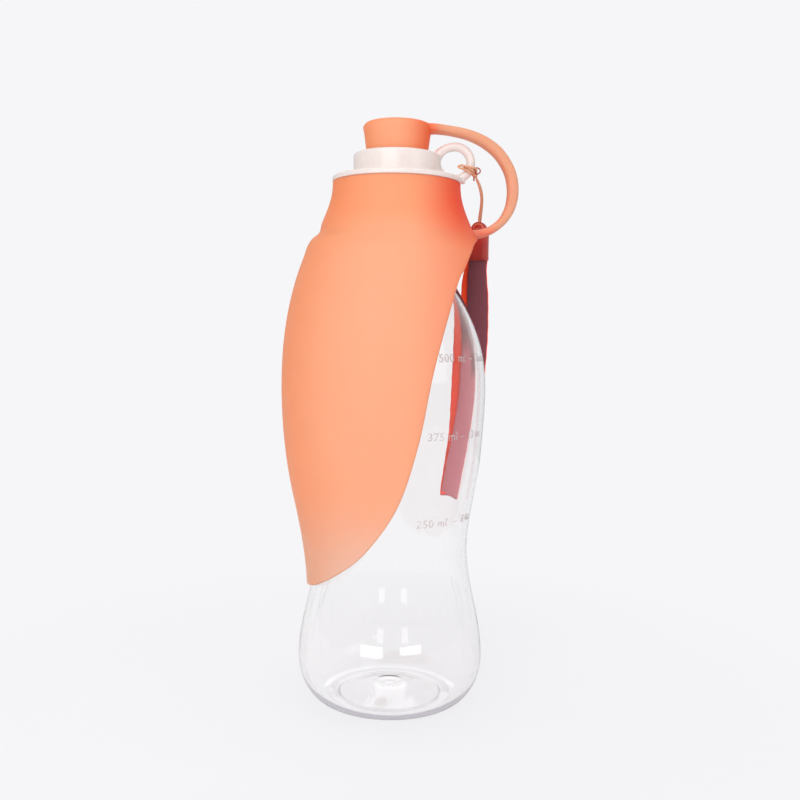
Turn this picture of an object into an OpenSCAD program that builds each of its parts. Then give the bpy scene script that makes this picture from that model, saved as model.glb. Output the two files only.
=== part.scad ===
// Travel water bottle for a dog: a clear waisted bottle with a screw cap, and a silicone leaf that
// hangs down round the bottle and flips up to become the drinking trough. The origin is at the
// middle of the foot, +Z is up, the tip of the leaf points to -X and the strap of the plug to +X.

/* [Bottle] */
// Radius of the round base where it is widest
base_r = 38.6; // [34:0.1:42]
// Height at which the base is widest
base_h = 19; // [14:0.5:24]
// Outer radius of the ring that stands on the table
foot_r = 25.5; // [24:0.5:30]
// Radius of the recess in the middle of the foot
punt_r = 21.5; // [18:0.5:22.5]
// Height of the recess in the middle of the foot
punt_h = 4.5; // [2:0.5:8]
// Radius of the waist that the hand holds
waist_r = 31.7; // [28:0.1:34]
// Height of the waist
waist_h = 65; // [58:0.5:72]
// Radius of the chest, where the swelling over the waist slows down
chest_r = 36.7; // [34:0.1:38]
// Height of the chest
chest_h = 104; // [96:0.5:112]
// Radius of the belly, the widest place over the waist
belly_r = 38.1; // [36:0.1:40]
// Height of the belly
belly_h = 131; // [120:0.5:140]
// Radius of the shoulder just under the neck
shoulder_r = 25.6; // [23:0.1:28]
// Distance of the shoulder below the rim
shoulder_drop = 41.2; // [38:0.2:48]
// Outer radius of the neck
neck_r = 20.6; // [18:0.1:21]
// Length of the straight neck below the rim
neck_l = 31; // [26:0.5:35]
// Height of the rim of the bottle
rim_h = 213.7; // [206:0.1:225]
// Thickness of the clear wall
bottle_wall = 1.8; // [1.2:0.1:2.4]

/* [Cap] */
// Thickness of the sealing washer
gasket_t = 1.5; // [1:0.1:2.5]
// Outer radius of the flange that shows above the sleeve
flange_r = 26.4; // [25.6:0.1:29]
// Thickness of the flange
flange_t = 2.3; // [2:0.1:4]
// Outer radius of the spout ring
spout_r = 17.8; // [16:0.1:19]
// Height of the spout ring over the flange
spout_h = 9.3; // [7:0.1:12]
// Radius of the spout's bore at its mouth
bore_r = 12.5; // [11:0.1:13.2]
// How much narrower the bore is at its lower end
bore_taper = 1.1; // [0.4:0.1:2]
// Room between the neck and the inside of the skirt, which holds the screw thread
thread_room = 1.6; // [1.2:0.1:2]
// Thickness of the skirt
skirt_wall = 2; // [1.4:0.1:2.6]
// Length of the skirt below the flange
skirt_l = 26; // [20:0.5:28]
// How far the bead on the skirt stands out into the sleeve
bead_h = 0.9; // [0.5:0.1:1.2]

/* [Carrying ring] */
// Radius of the ring's centreline
ring_r = 6.5; // [5.6:0.1:7.5]
// Radius of the ring's round bar
bar_r = 1.8; // [1.4:0.1:2.2]
// Distance of the ring's centre outside the spout
ring_out = 5.9; // [5:0.1:6.5]
// Height of the ring's centre over the flange's top
ring_up = 6.3; // [6:0.1:6.8]

/* [Sleeve and leaf] */
// Thickness of the silicone collar
sleeve_wall = 2; // [1.6:0.1:2.6]
// Height of the sleeve between its top and the fold
sleeve_h = 22.2; // [21:0.2:26]
// Height of the upright band just over the fold
band_h = 4.2; // [3:0.1:6]
// Radius of the upright band
band_r = 31.4; // [30.8:0.1:33]
// How far the fold, where the leaf starts, stands out past the upright band
fold_flare = 1.4; // [0.8:0.1:3]
// Radius of the leaf just under the fold
brow_r = 37.4; // [36:0.1:39]
// Distance of that place below the fold
brow_drop = 7; // [6:0.5:10]
// How far the leaf's outside stands off the belly
belly_standoff = 8.4; // [6:0.1:11]
// How far the leaf's outside stands off the bottle over the waist
waist_standoff = 7.2; // [5:0.1:9]
// Height of the leaf's tip
tip_h = 48.5; // [44:0.5:58]
// Thickness of the leaf at its tip
tip_wall = 1.3; // [1:0.1:1.8]
// Air between the leaf's tip and the bottle
tip_gap = 0.5; // [0.3:0.1:1.5]

/* [Plug and strap] */
// Radius of the plug's crown
crown_r = 14.1; // [13.6:0.1:16]
// Height of the crown over the spout ring
crown_h = 12.4; // [9:0.2:15]
// Length of the plug inside the bore
bung_l = 13.4; // [8:0.2:14]
// Thickness of the plug's hollow stem
bung_wall = 3; // [2:0.1:4]
// Width of the strap
strap_w = 7.4; // [5:0.2:9]
// Thickness of the strap
strap_t = 3.4; // [2.6:0.1:4.6]
// How far the strap's bow reaches out from the middle of the bottle
bow_x = 47.8; // [45:0.1:54]

/* [Lanyard] */
// Thickness of the cord
cord_d = 0.9; // [0.6:0.1:1.2]
// Width of the crimp sleeve
ferrule_w = 8.4; // [7:0.1:9]
// Thickness of the crimp sleeve
ferrule_t = 5; // [4:0.1:5.6]
// Height of the crimp sleeve's straight body
ferrule_h = 13.6; // [10:0.2:15]
// Width of the wrist ribbon
ribbon_w = 9; // [7:0.2:10]
// Thickness of the wrist ribbon
ribbon_t = 1; // [0.6:0.1:1.4]

/* [Hidden] */

ARC = 96;               // sides of a full circle where it is shown as facets
steps = 10;             // chords in each stretch of an outline
fit = 0.05;             // radial clearance of pieces that seat in each other
slack = 0.15;           // air between the strap's end and the tab of the plug
corner = 1.2;           // radius of the cap's moulded corners

// Heights that follow from the stack of rim, washer, flange and spout
flange_z = rim_h + gasket_t;
flange_top = flange_z + flange_t;
spout_top = flange_top + spout_h;
crown_top = spout_top + crown_h;
fold_z = flange_z - sleeve_h;
fold_r = band_r + fold_flare;
skirt_in = neck_r + thread_room;
skirt_out = skirt_in + skirt_wall;
sleeve_in = skirt_out + fit;

// ---- Curves ----

// Value at place u of the cubic that joins two stations [place, value, slope]
function cubic(a, b, u) =
    let(h = b[0] - a[0], t = (u - a[0]) / h)
    (1 + 2 * t) * (1 - t) * (1 - t) * a[1] + t * t * (3 - 2 * t) * b[1]
    + h * t * (1 - t) * ((1 - t) * a[2] - t * b[2]);

// Value at place u along a list of such stations in rising order
function along(stations, u, i = 0) =
    (i == len(stations) - 2 || u <= stations[i + 1][0])
        ? cubic(stations[i], stations[i + 1], u)
        : along(stations, u, i + 1);

// Outline points [radius, height] from one end of the stations to the other
function outline(stations) = [
    for (i = [0 : len(stations) - 2], k = [0 : steps - 1])
        let(z = stations[i][0] + (stations[i + 1][0] - stations[i][0]) * k / steps)
        [along(stations, z), z],
    [stations[len(stations) - 1][1], stations[len(stations) - 1][0]]];

// Points on an ellipse about c with half axes rx and ry, from angle a0 to angle a1
function arc(c, rx, ry, a0, a1, n = 8) =
    [for (k = [0 : n]) let(a = a0 + (a1 - a0) * k / n) [c[0] + rx * cos(a), c[1] + ry * sin(a)]];

// Smooth curve through points, with n chords between each two
function spline(p, n) = [
    for (i = [0 : len(p) - 2], k = [0 : n - 1])
        let(t = k / n, a = p[max(i - 1, 0)], b = p[i], c = p[i + 1], d = p[min(i + 2, len(p) - 1)])
        0.5 * (2 * b + (c - a) * t + (2 * a - 5 * b + 4 * c - d) * t * t
               + (3 * b - a - 3 * c + d) * t * t * t),
    p[len(p) - 1]];

function unit(v) = v / norm(v);
function backwards(v) = [for (i = [len(v) - 1 : -1 : 0]) v[i]];

// Direction of a path at its point i
function heading(path, i) = unit(path[min(i + 1, len(path) - 1)] - path[max(i - 1, 0)]);

// Flat section with round ends, w wide and t thick, as 12 points
function band(w, t) = concat(
    [for (a = [-75 : 30 : 75]) [w / 2 - t / 2 + t / 2 * cos(a), t / 2 * sin(a)]],
    [for (a = [105 : 30 : 255]) [-w / 2 + t / 2 + t / 2 * cos(a), t / 2 * sin(a)]]);

// Solid that a section sweeps along a path; its first axis stays square to the path and near across
module sweep(path, section, across, first = undef, last = undef) {
    n = len(section);
    m = len(path);
    rings = [for (i = [0 : m - 1])
        let(way = i == 0 && first != undef ? first : i == m - 1 && last != undef ? last : heading(path, i),
            side = unit(across - (across * way) * way),
            up = cross(way, side))
        for (p = section) path[i] + p[0] * side + p[1] * up];
    walls = [for (i = [0 : m - 2], k = [0 : n - 1])
        let(a = i * n + k, b = i * n + (k + 1) % n)
        each [[a, a + n, b + n], [a, b + n, b]]];
    polyhedron(rings, concat(walls,
        [[for (k = [0 : n - 1]) k]],
        [[for (k = [n - 1 : -1 : 0]) (m - 1) * n + k]]), convexity = 6);
}

// ---- Bottle ----

bottle_stations = [
    [base_h, base_r, 0],
    [waist_h, waist_r, 0],
    [chest_h, chest_r, 0.07],
    [belly_h, belly_r, 0],
    [rim_h - shoulder_drop, shoulder_r, -0.62],
    [rim_h - neck_l, neck_r, 0]];

function bottle_r(z) = along(bottle_stations, z);

module bottle() {
    w = bottle_wall;
    punt = [for (k = [0 : 8]) [punt_r * k / 8, punt_h * (1 + cos(22.5 * k)) / 2]];
    outside = concat(
        arc([foot_r, base_h], base_r - foot_r, base_h, -90, 0, 12),
        outline(bottle_stations),
        [[neck_r, rim_h - 0.6], [neck_r - 0.6, rim_h]]);
    inside = concat(
        [[neck_r - w - 0.4, rim_h], [neck_r - w, rim_h - 0.4]],
        [for (p = backwards(outline(bottle_stations))) [p[0] - w, p[1]]],
        arc([foot_r, base_h], base_r - foot_r - w, base_h - w, 0, -90, 12),
        [for (p = backwards(punt)) [p[0], p[1] + w]]);
    color([0.88, 0.93, 0.95, 0.35])
        rotate_extrude($fn = ARC) polygon(concat(outside, inside, punt));
}

// ---- Cap ----

module gasket() {
    color("whitesmoke")
        translate([0, 0, rim_h])
            difference() {
                cylinder(r = skirt_in - fit, h = gasket_t, $fn = ARC);
                translate([0, 0, -1])
                    cylinder(r = neck_r - bottle_wall - 0.4, h = gasket_t + 2, $fn = ARC);
            }
}

bead_z = flange_z - sleeve_h / 2 + 2;      // height of the snap bead on the skirt
ring_c = [spout_r + ring_out, 0, flange_top + ring_up];

// Half-round bead on the skirt, or the groove for it when it is grown
function bead(grow) = arc([skirt_out, bead_z], bead_h + grow, bead_h + grow, -90, 90);

module cap() {
    shell = concat(
        [[skirt_in, flange_z - skirt_l], [skirt_out, flange_z - skirt_l]],
        bead(0),
        [[skirt_out, flange_z], [flange_r, flange_z]],
        arc([flange_r - corner, flange_top - corner], corner, corner, 0, 90, 5),
        arc([spout_r + 1, flange_top + 1], 1, 1, 270, 180, 4),
        arc([spout_r - corner, spout_top - corner], corner, corner, 0, 90, 5),
        [[bore_r + 0.3, spout_top], [bore_r, spout_top - 0.5],
         [bore_r - bore_taper, flange_z], [skirt_in, flange_z]]);
    color("white") {
        rotate_extrude($fn = ARC) polygon(shell);
        // Carrying ring, let into the spout and the flange
        translate(ring_c)
            rotate([90, 0, 0])
                rotate_extrude($fn = ARC) translate([ring_r, 0]) circle(bar_r, $fn = 32);
        // Its foot, which runs down over the edge of the flange
        translate([flange_r - 0.6, 0, flange_z + bar_r * 0.7])
            rotate([0, 38, 0]) cylinder(r = bar_r * 0.7, h = 4.2, $fn = 32);
    }
}

// ---- Silicone sleeve and leaf ----

sleeve_stations = [
    [fold_z + band_h, band_r, -0.2],
    [flange_z - 4, skirt_out + sleeve_wall + 0.2, -0.12],
    [flange_z, skirt_out + sleeve_wall, 0]];

module sleeve() {
    flared = [for (p = outline(sleeve_stations)) [max(p[0] - sleeve_wall, sleeve_in), p[1]]];
    outside = concat(
        [for (p = outline([[fold_z, fold_r, -0.95], sleeve_stations[0]])) if (p[1] < fold_z + band_h) p],
        outline(sleeve_stations));
    inside = concat(backwards(flared), [[band_r - sleeve_wall, fold_z]]);
    color("lightsalmon")
        difference() {
            union() {
                rotate_extrude($fn = ARC) polygon(concat(outside, inside));
                // Root of the strap
                translate([band_r - 1, 0, strap_z0])
                    rotate([90, 0, 90])
                        linear_extrude(root_x - band_r + 1) polygon(band(strap_w, strap_t));
            }
            // Groove that snaps over the bead of the cap
            rotate_extrude($fn = ARC)
                polygon(concat([[skirt_out - 1, bead_z + bead_h + fit]], backwards(bead(fit)),
                               [[skirt_out - 1, bead_z - bead_h - fit]]));
        }
}

leaf_l = fold_z - tip_h;
leaf_stations = [
    [tip_h, bottle_r(tip_h) + tip_gap + tip_wall, 0.05],
    [waist_h + 20, bottle_r(waist_h + 20) + waist_standoff, 0.23],
    [belly_h + 2, belly_r + belly_standoff, 0],
    [fold_z - brow_drop, brow_r, -0.38],
    [fold_z, fold_r, -0.95]];

// Thickness of the leaf, which thins out towards the tip
function leaf_wall(z) = tip_wall + (sleeve_wall - tip_wall) * (z - tip_h) / leaf_l;

// Edge of the leaf seen from the side, as [share of the leaf's length below the fold, X]: it leaves
// the strap's root at the back, falls steeply along the flank and sweeps forward to the tip
edge_shape = [[0, fold_r - 0.2], [0.01, fold_r + 0.3], [0.035, 31.2], [0.06, 29.6], [0.1, 27.1],
              [0.152, 23.8], [0.36, 15.7], [0.56, 10], [0.73, 2.2], [0.86, -10.2], [0.94, -23],
              [1.01, -37]];

// Leaf: a shell of revolution that thins towards its tip, cut by the edge curve from both flanks.
// It meets the sleeve face to face at the fold, where the same silicone turns.
module leaf() {
    outer = outline(leaf_stations);
    inner = [for (p = backwards(outer)) [p[0] - leaf_wall(p[1]), p[1]]];
    edge = spline([for (e = edge_shape) [e[1], fold_z - e[0] * leaf_l]], 6);
    color("lightsalmon")
        intersection() {
            rotate_extrude($fn = ARC) polygon(concat(outer, inner));
            rotate([90, 0, 0])
                linear_extrude(4 * belly_r, center = true)
                    polygon(concat(edge, [[-60, tip_h - 10], [-60, fold_z + 1], [fold_r - 0.2, fold_z + 1]]));
        }
}

// ---- Plug and strap ----

tab_x = crown_r + 2.5;                      // end of the plug's tab
root_x = band_r + 4;                        // end of the strap's root on the sleeve
strap_z0 = fold_z + strap_t / 2 + 0.6;      // height of the strap's root
strap_z1 = crown_top - strap_t / 2;         // height of the strap at the plug

module plug() {
    r0 = bore_r - bore_taper * bung_l / (spout_h + flange_t) - fit;
    stem = [[r0 - 0.8, spout_top - bung_l], [r0, spout_top - bung_l + 1], [bore_r - fit, spout_top]];
    top = arc([crown_r - 2.4, crown_top - 2.4], 2.4, 2.4, 0, 90, 6);
    core = [[0, spout_top - 1], [r0 - bung_wall - 2, spout_top - 1], [r0 - bung_wall, spout_top - 3],
            [r0 - bung_wall, spout_top - bung_l]];
    color("salmon") {
        rotate_extrude($fn = ARC) polygon(concat(stem, top, [[0, crown_top]], core));
        translate([crown_r - 4, 0, strap_z1])
            rotate([90, 0, 90])
                linear_extrude(tab_x - crown_r + 4) polygon(band(strap_w, strap_t));
    }
}

// Strap: a flat bow from its root on the sleeve, out round the carrying ring, to the plug
module plug_strap() {
    mid_z = (strap_z0 + strap_z1) / 2;
    route = spline([
        [root_x, 0, strap_z0], [bow_x - 9.1, 0, strap_z0 + 1.1], [bow_x - 5.2, 0, strap_z0 + 4.2],
        [bow_x - 2.2, 0, strap_z0 + 8], [bow_x, 0, mid_z - 4], [bow_x - 3.8, 0, strap_z1 - 13.3],
        [bow_x - 12.8, 0, strap_z1 - 4.9], [tab_x + 6, 0, strap_z1 - 0.8], [tab_x + slack, 0, strap_z1]], 5);
    color("salmon") sweep(route, band(strap_w, strap_t), [0, 1, 0], [1, 0, 0], [-1, 0, 0]);
}

// ---- Lanyard ----

knot = [31.9, 0.6, 219.1];                   // middle of the knot, about which the lanyard swings
knot_r = 1.1;
ferrule_at = [35.7, 17.8, 185.6];           // middle of the crimp sleeve's lower end
ferrule_turn = -20;                         // the crimp sleeve lies against the leaf's corner

// The cord hangs from the knot as a loop: down, round inside the crimp sleeve, and back up
cord_route = [
    [32.6, 1.1, 218], [34.3, 3.4, 214.6], [35.5, 7.4, 210.8], [35.6, 11.4, 206.9], [35.4, 15, 203.8],
    [35.5, 16.8, 200.6], [35.5, 16.9, 196], [35.8, 17.8, 194.4], [36.1, 18.7, 196],
    [36.1, 18.8, 200.6], [36.3, 17.2, 204.4], [36.3, 13.4, 207.4], [36, 8.8, 211.2],
    [34.8, 4.8, 214.9], [32.9, 2.2, 218.1]];

// The ribbon is a loop too: the front half falls beside the belly, turns up at the end and comes
// back behind it
ribbon_route = [
    [35.7, 17.2, 187.4], [35.3, 17.8, 180], [35.8, 19.6, 168], [36.1, 21.8, 153], [35.4, 23.4, 138],
    [34.6, 24.8, 124], [32.1, 26.4, 108], [29.6, 28, 94], [28, 29, 84], [27.5, 30.2, 80.8],
    [27.7, 31.6, 84], [29.2, 32.2, 95], [31, 32, 109], [31.5, 31, 124], [31.9, 29.6, 139],
    [32.4, 27.2, 153], [33.4, 23.8, 169], [33.5, 21, 179], [36, 18.6, 187.4]];

// Hitch of the cord round the bar of the carrying ring, with the knot under it
module cord_hitch() {
    wrap_r = bar_r + cord_d / 2 + fit;
    color("peru") {
        for (a = [-20, -31])
            translate(ring_c + ring_r * [cos(a), 0, sin(a)])
                rotate([0, -a, 0])
                    rotate_extrude($fn = 48) translate([wrap_r, 0]) circle(cord_d / 2, $fn = 16);
        translate(knot) sphere(knot_r, $fn = 32);
    }
}

module lanyard_cord() {
    ring = [for (k = [0 : 7]) cord_d / 2 * [cos(45 * k), sin(45 * k)]];
    color("peru") sweep(spline(cord_route, 3), ring, [1, 0.01, 0.02]);
}

module ferrule() {
    dome_r = ferrule_w / 2 - 0.9;
    color("firebrick")
        translate(ferrule_at)
            rotate([0, 0, ferrule_turn]) {
                linear_extrude(ferrule_h) polygon(band(ferrule_w, ferrule_t));
                translate([0, 0, ferrule_h])
                    rotate([90, 0, 0])
                        cylinder(r = dome_r, h = ferrule_t - 1, center = true, $fn = 48);
            }
}

module wrist_ribbon() {
    color("indianred")
        sweep(spline(ribbon_route, 3), band(ribbon_w, ribbon_t), [cos(15), -sin(15), 0]);
}

bottle();
gasket();
cap();
sleeve();
leaf();
plug();
plug_strap();
cord_hitch();
lanyard_cord();
ferrule();
wrist_ribbon();
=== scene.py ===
"""A travel water bottle for a dog, dressed over its solid model for rendering.

Every sub-assembly is a class that holds its sizes and builds its own pieces. All lengths are in
millimetres until a mesh is made, which puts them in metres in the frame of the solid model.
Finishes, lamps and the camera work in metres from the start.
"""

import logging
import math
from dataclasses import dataclass, field
from enum import Enum
from typing import Callable, Optional, Sequence

import bpy
import bmesh
import numpy as np
from mathutils import Matrix, Vector


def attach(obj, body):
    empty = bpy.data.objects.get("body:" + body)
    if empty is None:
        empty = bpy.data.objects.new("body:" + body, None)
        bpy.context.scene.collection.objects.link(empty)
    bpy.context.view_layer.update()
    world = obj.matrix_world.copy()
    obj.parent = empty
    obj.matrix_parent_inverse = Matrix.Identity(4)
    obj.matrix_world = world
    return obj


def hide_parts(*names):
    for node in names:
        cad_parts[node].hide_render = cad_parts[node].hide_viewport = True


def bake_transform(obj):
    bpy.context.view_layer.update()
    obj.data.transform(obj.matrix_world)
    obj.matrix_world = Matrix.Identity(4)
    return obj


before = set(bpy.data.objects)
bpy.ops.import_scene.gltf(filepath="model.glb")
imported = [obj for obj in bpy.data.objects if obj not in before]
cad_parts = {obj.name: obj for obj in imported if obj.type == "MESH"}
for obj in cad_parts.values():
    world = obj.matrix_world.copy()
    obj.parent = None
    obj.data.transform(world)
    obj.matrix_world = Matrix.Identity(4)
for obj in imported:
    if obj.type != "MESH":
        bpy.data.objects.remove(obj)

log = logging.getLogger("water_bottle")

MM = 0.001
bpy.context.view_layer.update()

# A radius thinner than this lies on the axis.
ON_AXIS = 1e-6
# The side that an untwisted section starts from, which no path runs along.
FIRST_SIDE = (0.31, 0.95, 0.05)
# Each point's length along a piece and place across it, for yarns and strands.
UV_NAME = "Along"

Piece = bpy.types.Object
Finish = bpy.types.Material
Socket = bpy.types.NodeSocket
# A place along a curve, the value there and its slope.
Station = tuple[float, float, float]
Flat = tuple[float, float]
Place = tuple[float, float, float]
Colour = tuple[float, float, float]
# Where a mask starts and where it is full.
Range = tuple[float, float]


class Body(Enum):
    """The bodies of the solid model that new pieces ride on."""

    BOTTLE = "bottle"
    HEAD = "head"
    TROUGH = "trough"
    STOPPER = "stopper"
    LANYARD = "lanyard"


class Slot(Enum):
    """Names of the material slots, given with new pieces."""

    CLEAR = "clear_plastic"
    WHITE = "white_plastic"
    SILICONE = "coral_silicone"
    CORD = "cord"
    FERRULE = "ferrule_plastic"
    RIBBON = "ribbon"


# ---- Curves ----

def cubic(a: Station, b: Station, place: float) -> float:
    """Value of the cubic that joins two stations of place, value and slope.

    Args:
        a: The station before the place.
        b: The station after it.
        place: Where the value is wanted.

    Returns:
        The value at that place.
    """
    span = b[0] - a[0]
    t = (place - a[0]) / span
    return ((1 + 2 * t) * (1 - t) ** 2 * a[1] + t * t * (3 - 2 * t) * b[1]
            + span * t * (1 - t) * ((1 - t) * a[2] - t * b[2]))


def along(stations: Sequence[Station], place: float) -> float:
    """Value at a place along a list of stations in rising order.

    Args:
        stations: Places, values and slopes.
        place: Where the value is wanted.

    Returns:
        The value at that place.
    """
    for a, b in zip(stations, stations[1:]):
        if place <= b[0]:
            return cubic(a, b, place)
    return cubic(stations[-2], stations[-1], place)


def outline(stations: Sequence[Station], steps: int = 24) -> list[Flat]:
    """Outline from the first station to the last.

    Args:
        stations: Heights, radii and slopes.
        steps: Chords between two stations.

    Returns:
        Points of radius and height.
    """
    points = []
    for a, b in zip(stations, stations[1:]):
        for k in range(steps):
            place = a[0] + (b[0] - a[0]) * k / steps
            points.append((cubic(a, b, place), place))
    points.append((stations[-1][1], stations[-1][0]))
    return points


def arc(centre: Flat, rx: float, ry: float, start: float, end: float,
        steps: int = 12) -> list[Flat]:
    """Points on an ellipse.

    Args:
        centre: Its middle.
        rx: Half axis across.
        ry: Half axis up.
        start: First angle in degrees.
        end: Last angle in degrees.
        steps: Chords.

    Returns:
        Points from the first angle to the last.
    """
    angles = [math.radians(start + (end - start) * k / steps) for k in range(steps + 1)]
    return [(centre[0] + rx * math.cos(a), centre[1] + ry * math.sin(a)) for a in angles]


def rounded(x: float, z: float, toward: Flat, r: float, start: float, end: float,
            steps: int) -> list[Flat]:
    """Rounding of a square corner of a profile.

    Args:
        x: Radius of the corner.
        z: Height of the corner.
        toward: Signs of the way from the corner to the middle of the rounding.
        r: Radius of the rounding.
        start: First angle in degrees.
        end: Last angle in degrees.
        steps: Chords.

    Returns:
        Points from the first angle to the last.
    """
    return arc((x + toward[0] * r, z + toward[1] * r), r, r, start, end, steps)


def smooth_curve(points: Sequence[Sequence[float]], steps: int) -> np.ndarray:
    """Smooth curve that passes through its points.

    Args:
        points: The points that it passes through.
        steps: Chords between two points.

    Returns:
        One row for each point of the curve.
    """
    p = np.array(points, float)
    last = len(p) - 1
    out = []
    for i in range(last):
        a, b, c, d = p[max(i - 1, 0)], p[i], p[i + 1], p[min(i + 2, last)]
        for k in range(steps):
            t = k / steps
            out.append(0.5 * (2 * b + (c - a) * t + (2 * a - 5 * b + 4 * c - d) * t * t
                              + (3 * b - a - 3 * c + d) * t ** 3))
    out.append(p[last])
    return np.array(out)


def ease(low: float, high: float, x: float) -> float:
    """Smooth step from 0 at low to 1 at high."""
    t = min(max((x - low) / (high - low), 0.0), 1.0)
    return t * t * (3 - 2 * t)


def ellipse_section(width: float, height: float, sides: int = 16) -> np.ndarray:
    """Oval section, as points about its middle."""
    a = np.linspace(0, 2 * math.pi, sides, endpoint=False)
    return np.stack([width / 2 * np.cos(a), height / 2 * np.sin(a)], 1)


def band_section(width: float, height: float, power: float = 2.0, sides: int = 28) -> np.ndarray:
    """Flat section with round ends.

    Args:
        width: Its size across.
        height: Its thickness.
        power: 2 for an oval, and more for a squarer section.
        sides: Points round it.

    Returns:
        Points about its middle.
    """
    a = np.linspace(0, 2 * math.pi, sides, endpoint=False)
    c, s = np.cos(a), np.sin(a)
    k = 2 / power
    return np.stack([width / 2 * np.sign(c) * np.abs(c) ** k,
                     height / 2 * np.sign(s) * np.abs(s) ** k], 1)


# ---- Meshes ----

def make_piece(name: str, points: np.ndarray, faces: Sequence[Sequence[int]],
               finishes: Sequence[Finish], crease: float = 50.0,
               uv: Optional[np.ndarray] = None,
               picks: Optional[Sequence[int]] = None) -> Piece:
    """Makes a smooth-shaded piece from points in millimetres.

    Args:
        name: Its name.
        points: One row for each point.
        faces: The points of each face.
        finishes: Its materials.
        crease: Edges that bend more than this many degrees stay sharp.
        uv: A pair for each point, for a pattern that follows the piece.
        picks: Which material each face takes.

    Returns:
        The object, linked to the scene.
    """
    mesh = bpy.data.meshes.new(name)
    mesh.from_pydata((np.asarray(points, float) * MM).tolist(), [], [list(f) for f in faces])
    for finish in finishes:
        mesh.materials.append(finish)
    if picks is not None:
        mesh.polygons.foreach_set("material_index", list(picks))
    if uv is not None:
        layer = mesh.uv_layers.new(name=UV_NAME)
        corners = np.zeros(len(mesh.loops), int)
        mesh.loops.foreach_get("vertex_index", corners)
        layer.data.foreach_set("uv", np.asarray(uv, float)[corners].ravel())
    shell = bmesh.new()
    shell.from_mesh(mesh)
    bmesh.ops.recalc_face_normals(shell, faces=shell.faces)
    limit = math.radians(crease)
    for edge in shell.edges:
        edge.smooth = len(edge.link_faces) == 2 and edge.calc_face_angle(0.0) < limit
    for face in shell.faces:
        face.smooth = True
    shell.to_mesh(mesh)
    shell.free()
    piece = bpy.data.objects.new(name, mesh)
    bpy.context.scene.collection.objects.link(piece)
    return piece


def turned(name: str, profile: Sequence[Flat], finish: Finish, sides: int = 160,
           swell: Optional[Callable[[int, float], float]] = None,
           crease: float = 50.0) -> Piece:
    """Turns a closed profile about the upright axis.

    Args:
        name: Name of the piece.
        profile: Points of radius and height, round the section.
        finish: Its material.
        sides: Facets of the full circle.
        swell: What to add to the radius at a point of the profile and an angle.
        crease: Edges that bend more than this many degrees stay sharp.

    Returns:
        The turned piece.
    """
    points: list[list[float]] = []
    rows: list[list[int]] = []
    for i, (r, z) in enumerate(profile):
        if r < ON_AXIS:
            rows.append([len(points)] * sides)
            points.append([0.0, 0.0, z])
            continue
        rows.append(list(range(len(points), len(points) + sides)))
        for k in range(sides):
            a = 2 * math.pi * k / sides
            rk = r + (swell(i, a) if swell else 0.0)
            points.append([rk * math.cos(a), rk * math.sin(a), z])
    faces = []
    for i, low in enumerate(rows):
        high = rows[(i + 1) % len(rows)]
        if low[0] == low[1] and high[0] == high[1]:
            continue
        for k in range(sides):
            m = (k + 1) % sides
            face = list(dict.fromkeys([low[k], low[m], high[m], high[k]]))
            if len(face) > 2:
                faces.append(face)
    return make_piece(name, np.array(points), faces, [finish], crease)


def frames_along(path: np.ndarray,
                 across: Optional[Sequence[float]] = None) -> list[tuple[np.ndarray, np.ndarray]]:
    """Side and up directions of a section at each point of a path.

    Args:
        path: Its points.
        across: Direction that the side stays near. Without it the section doesn't twist.

    Returns:
        A side and an up direction for each point.
    """
    last = len(path) - 1
    side = np.array(across if across is not None else FIRST_SIDE, float)
    out = []
    for i in range(last + 1):
        way = path[min(i + 1, last)] - path[max(i - 1, 0)]
        way = way / np.linalg.norm(way)
        if across is not None:
            side = np.array(across, float)
        side = side - side.dot(way) * way
        side = side / np.linalg.norm(side)
        out.append((side, np.cross(way, side)))
    return out


def lengths_along(path: np.ndarray) -> np.ndarray:
    """Distance from the start to each point of a path."""
    return np.concatenate([[0], np.cumsum(np.linalg.norm(np.diff(path, axis=0), axis=1))])


def swept(name: str, path: np.ndarray, section: Callable[[int], np.ndarray],
          finishes: Sequence[Finish], across: Optional[Sequence[float]] = None,
          crease: float = 60.0, pick: Optional[Callable[[int], int]] = None) -> Piece:
    """Sweeps a section along a path.

    Args:
        name: Name of the piece.
        path: Points of the centreline.
        section: Gives the section's points at a point of the path.
        finishes: Its materials.
        across: Direction that the section's first axis stays near.
        crease: Edges that bend more than this many degrees stay sharp.
        pick: Gives the material of a face from its place round the section.

    Returns:
        The swept piece.
    """
    lengths = lengths_along(path)
    points, uv, faces, picks = [], [], [], []
    n = len(section(0))
    for i, (side, up) in enumerate(frames_along(path, across)):
        for x, y in section(i):
            points.append(path[i] + x * side + y * up)
            uv.append([lengths[i], x])
    for i in range(len(path) - 1):
        for k in range(n):
            m = (k + 1) % n
            faces.append([i * n + k, i * n + m, (i + 1) * n + m, (i + 1) * n + k])
            picks.append(pick(k) if pick else 0)
    for end in (0, len(path) - 1):
        faces.append([end * n + k for k in range(n)])
        picks.append(pick(0) if pick else 0)
    return make_piece(name, np.array(points), faces, finishes, crease, np.array(uv), picks)


def joined(name: str, pieces: Sequence[Piece]) -> Piece:
    """Joins pieces into the first of them.

    Args:
        name: Name of the result.
        pieces: The pieces.

    Returns:
        The joined piece.
    """
    first = pieces[0]
    with bpy.context.temp_override(active_object=first, selected_editable_objects=list(pieces)):
        bpy.ops.object.join()
    first.name = name
    return first


def settle(piece: Piece, body: Body, slot: Slot, *nodes: str) -> Piece:
    """Puts a finished piece on its body, in the place of CAD nodes.

    Args:
        piece: The piece.
        body: What it rides on.
        slot: The slot of its finish. Not used.
        *nodes: The nodes that it replaces.

    Returns:
        The piece.
    """
    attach(piece, body.value)
    if nodes:
        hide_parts(*nodes)
    return piece


# ---- Shader nodes ----

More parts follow.
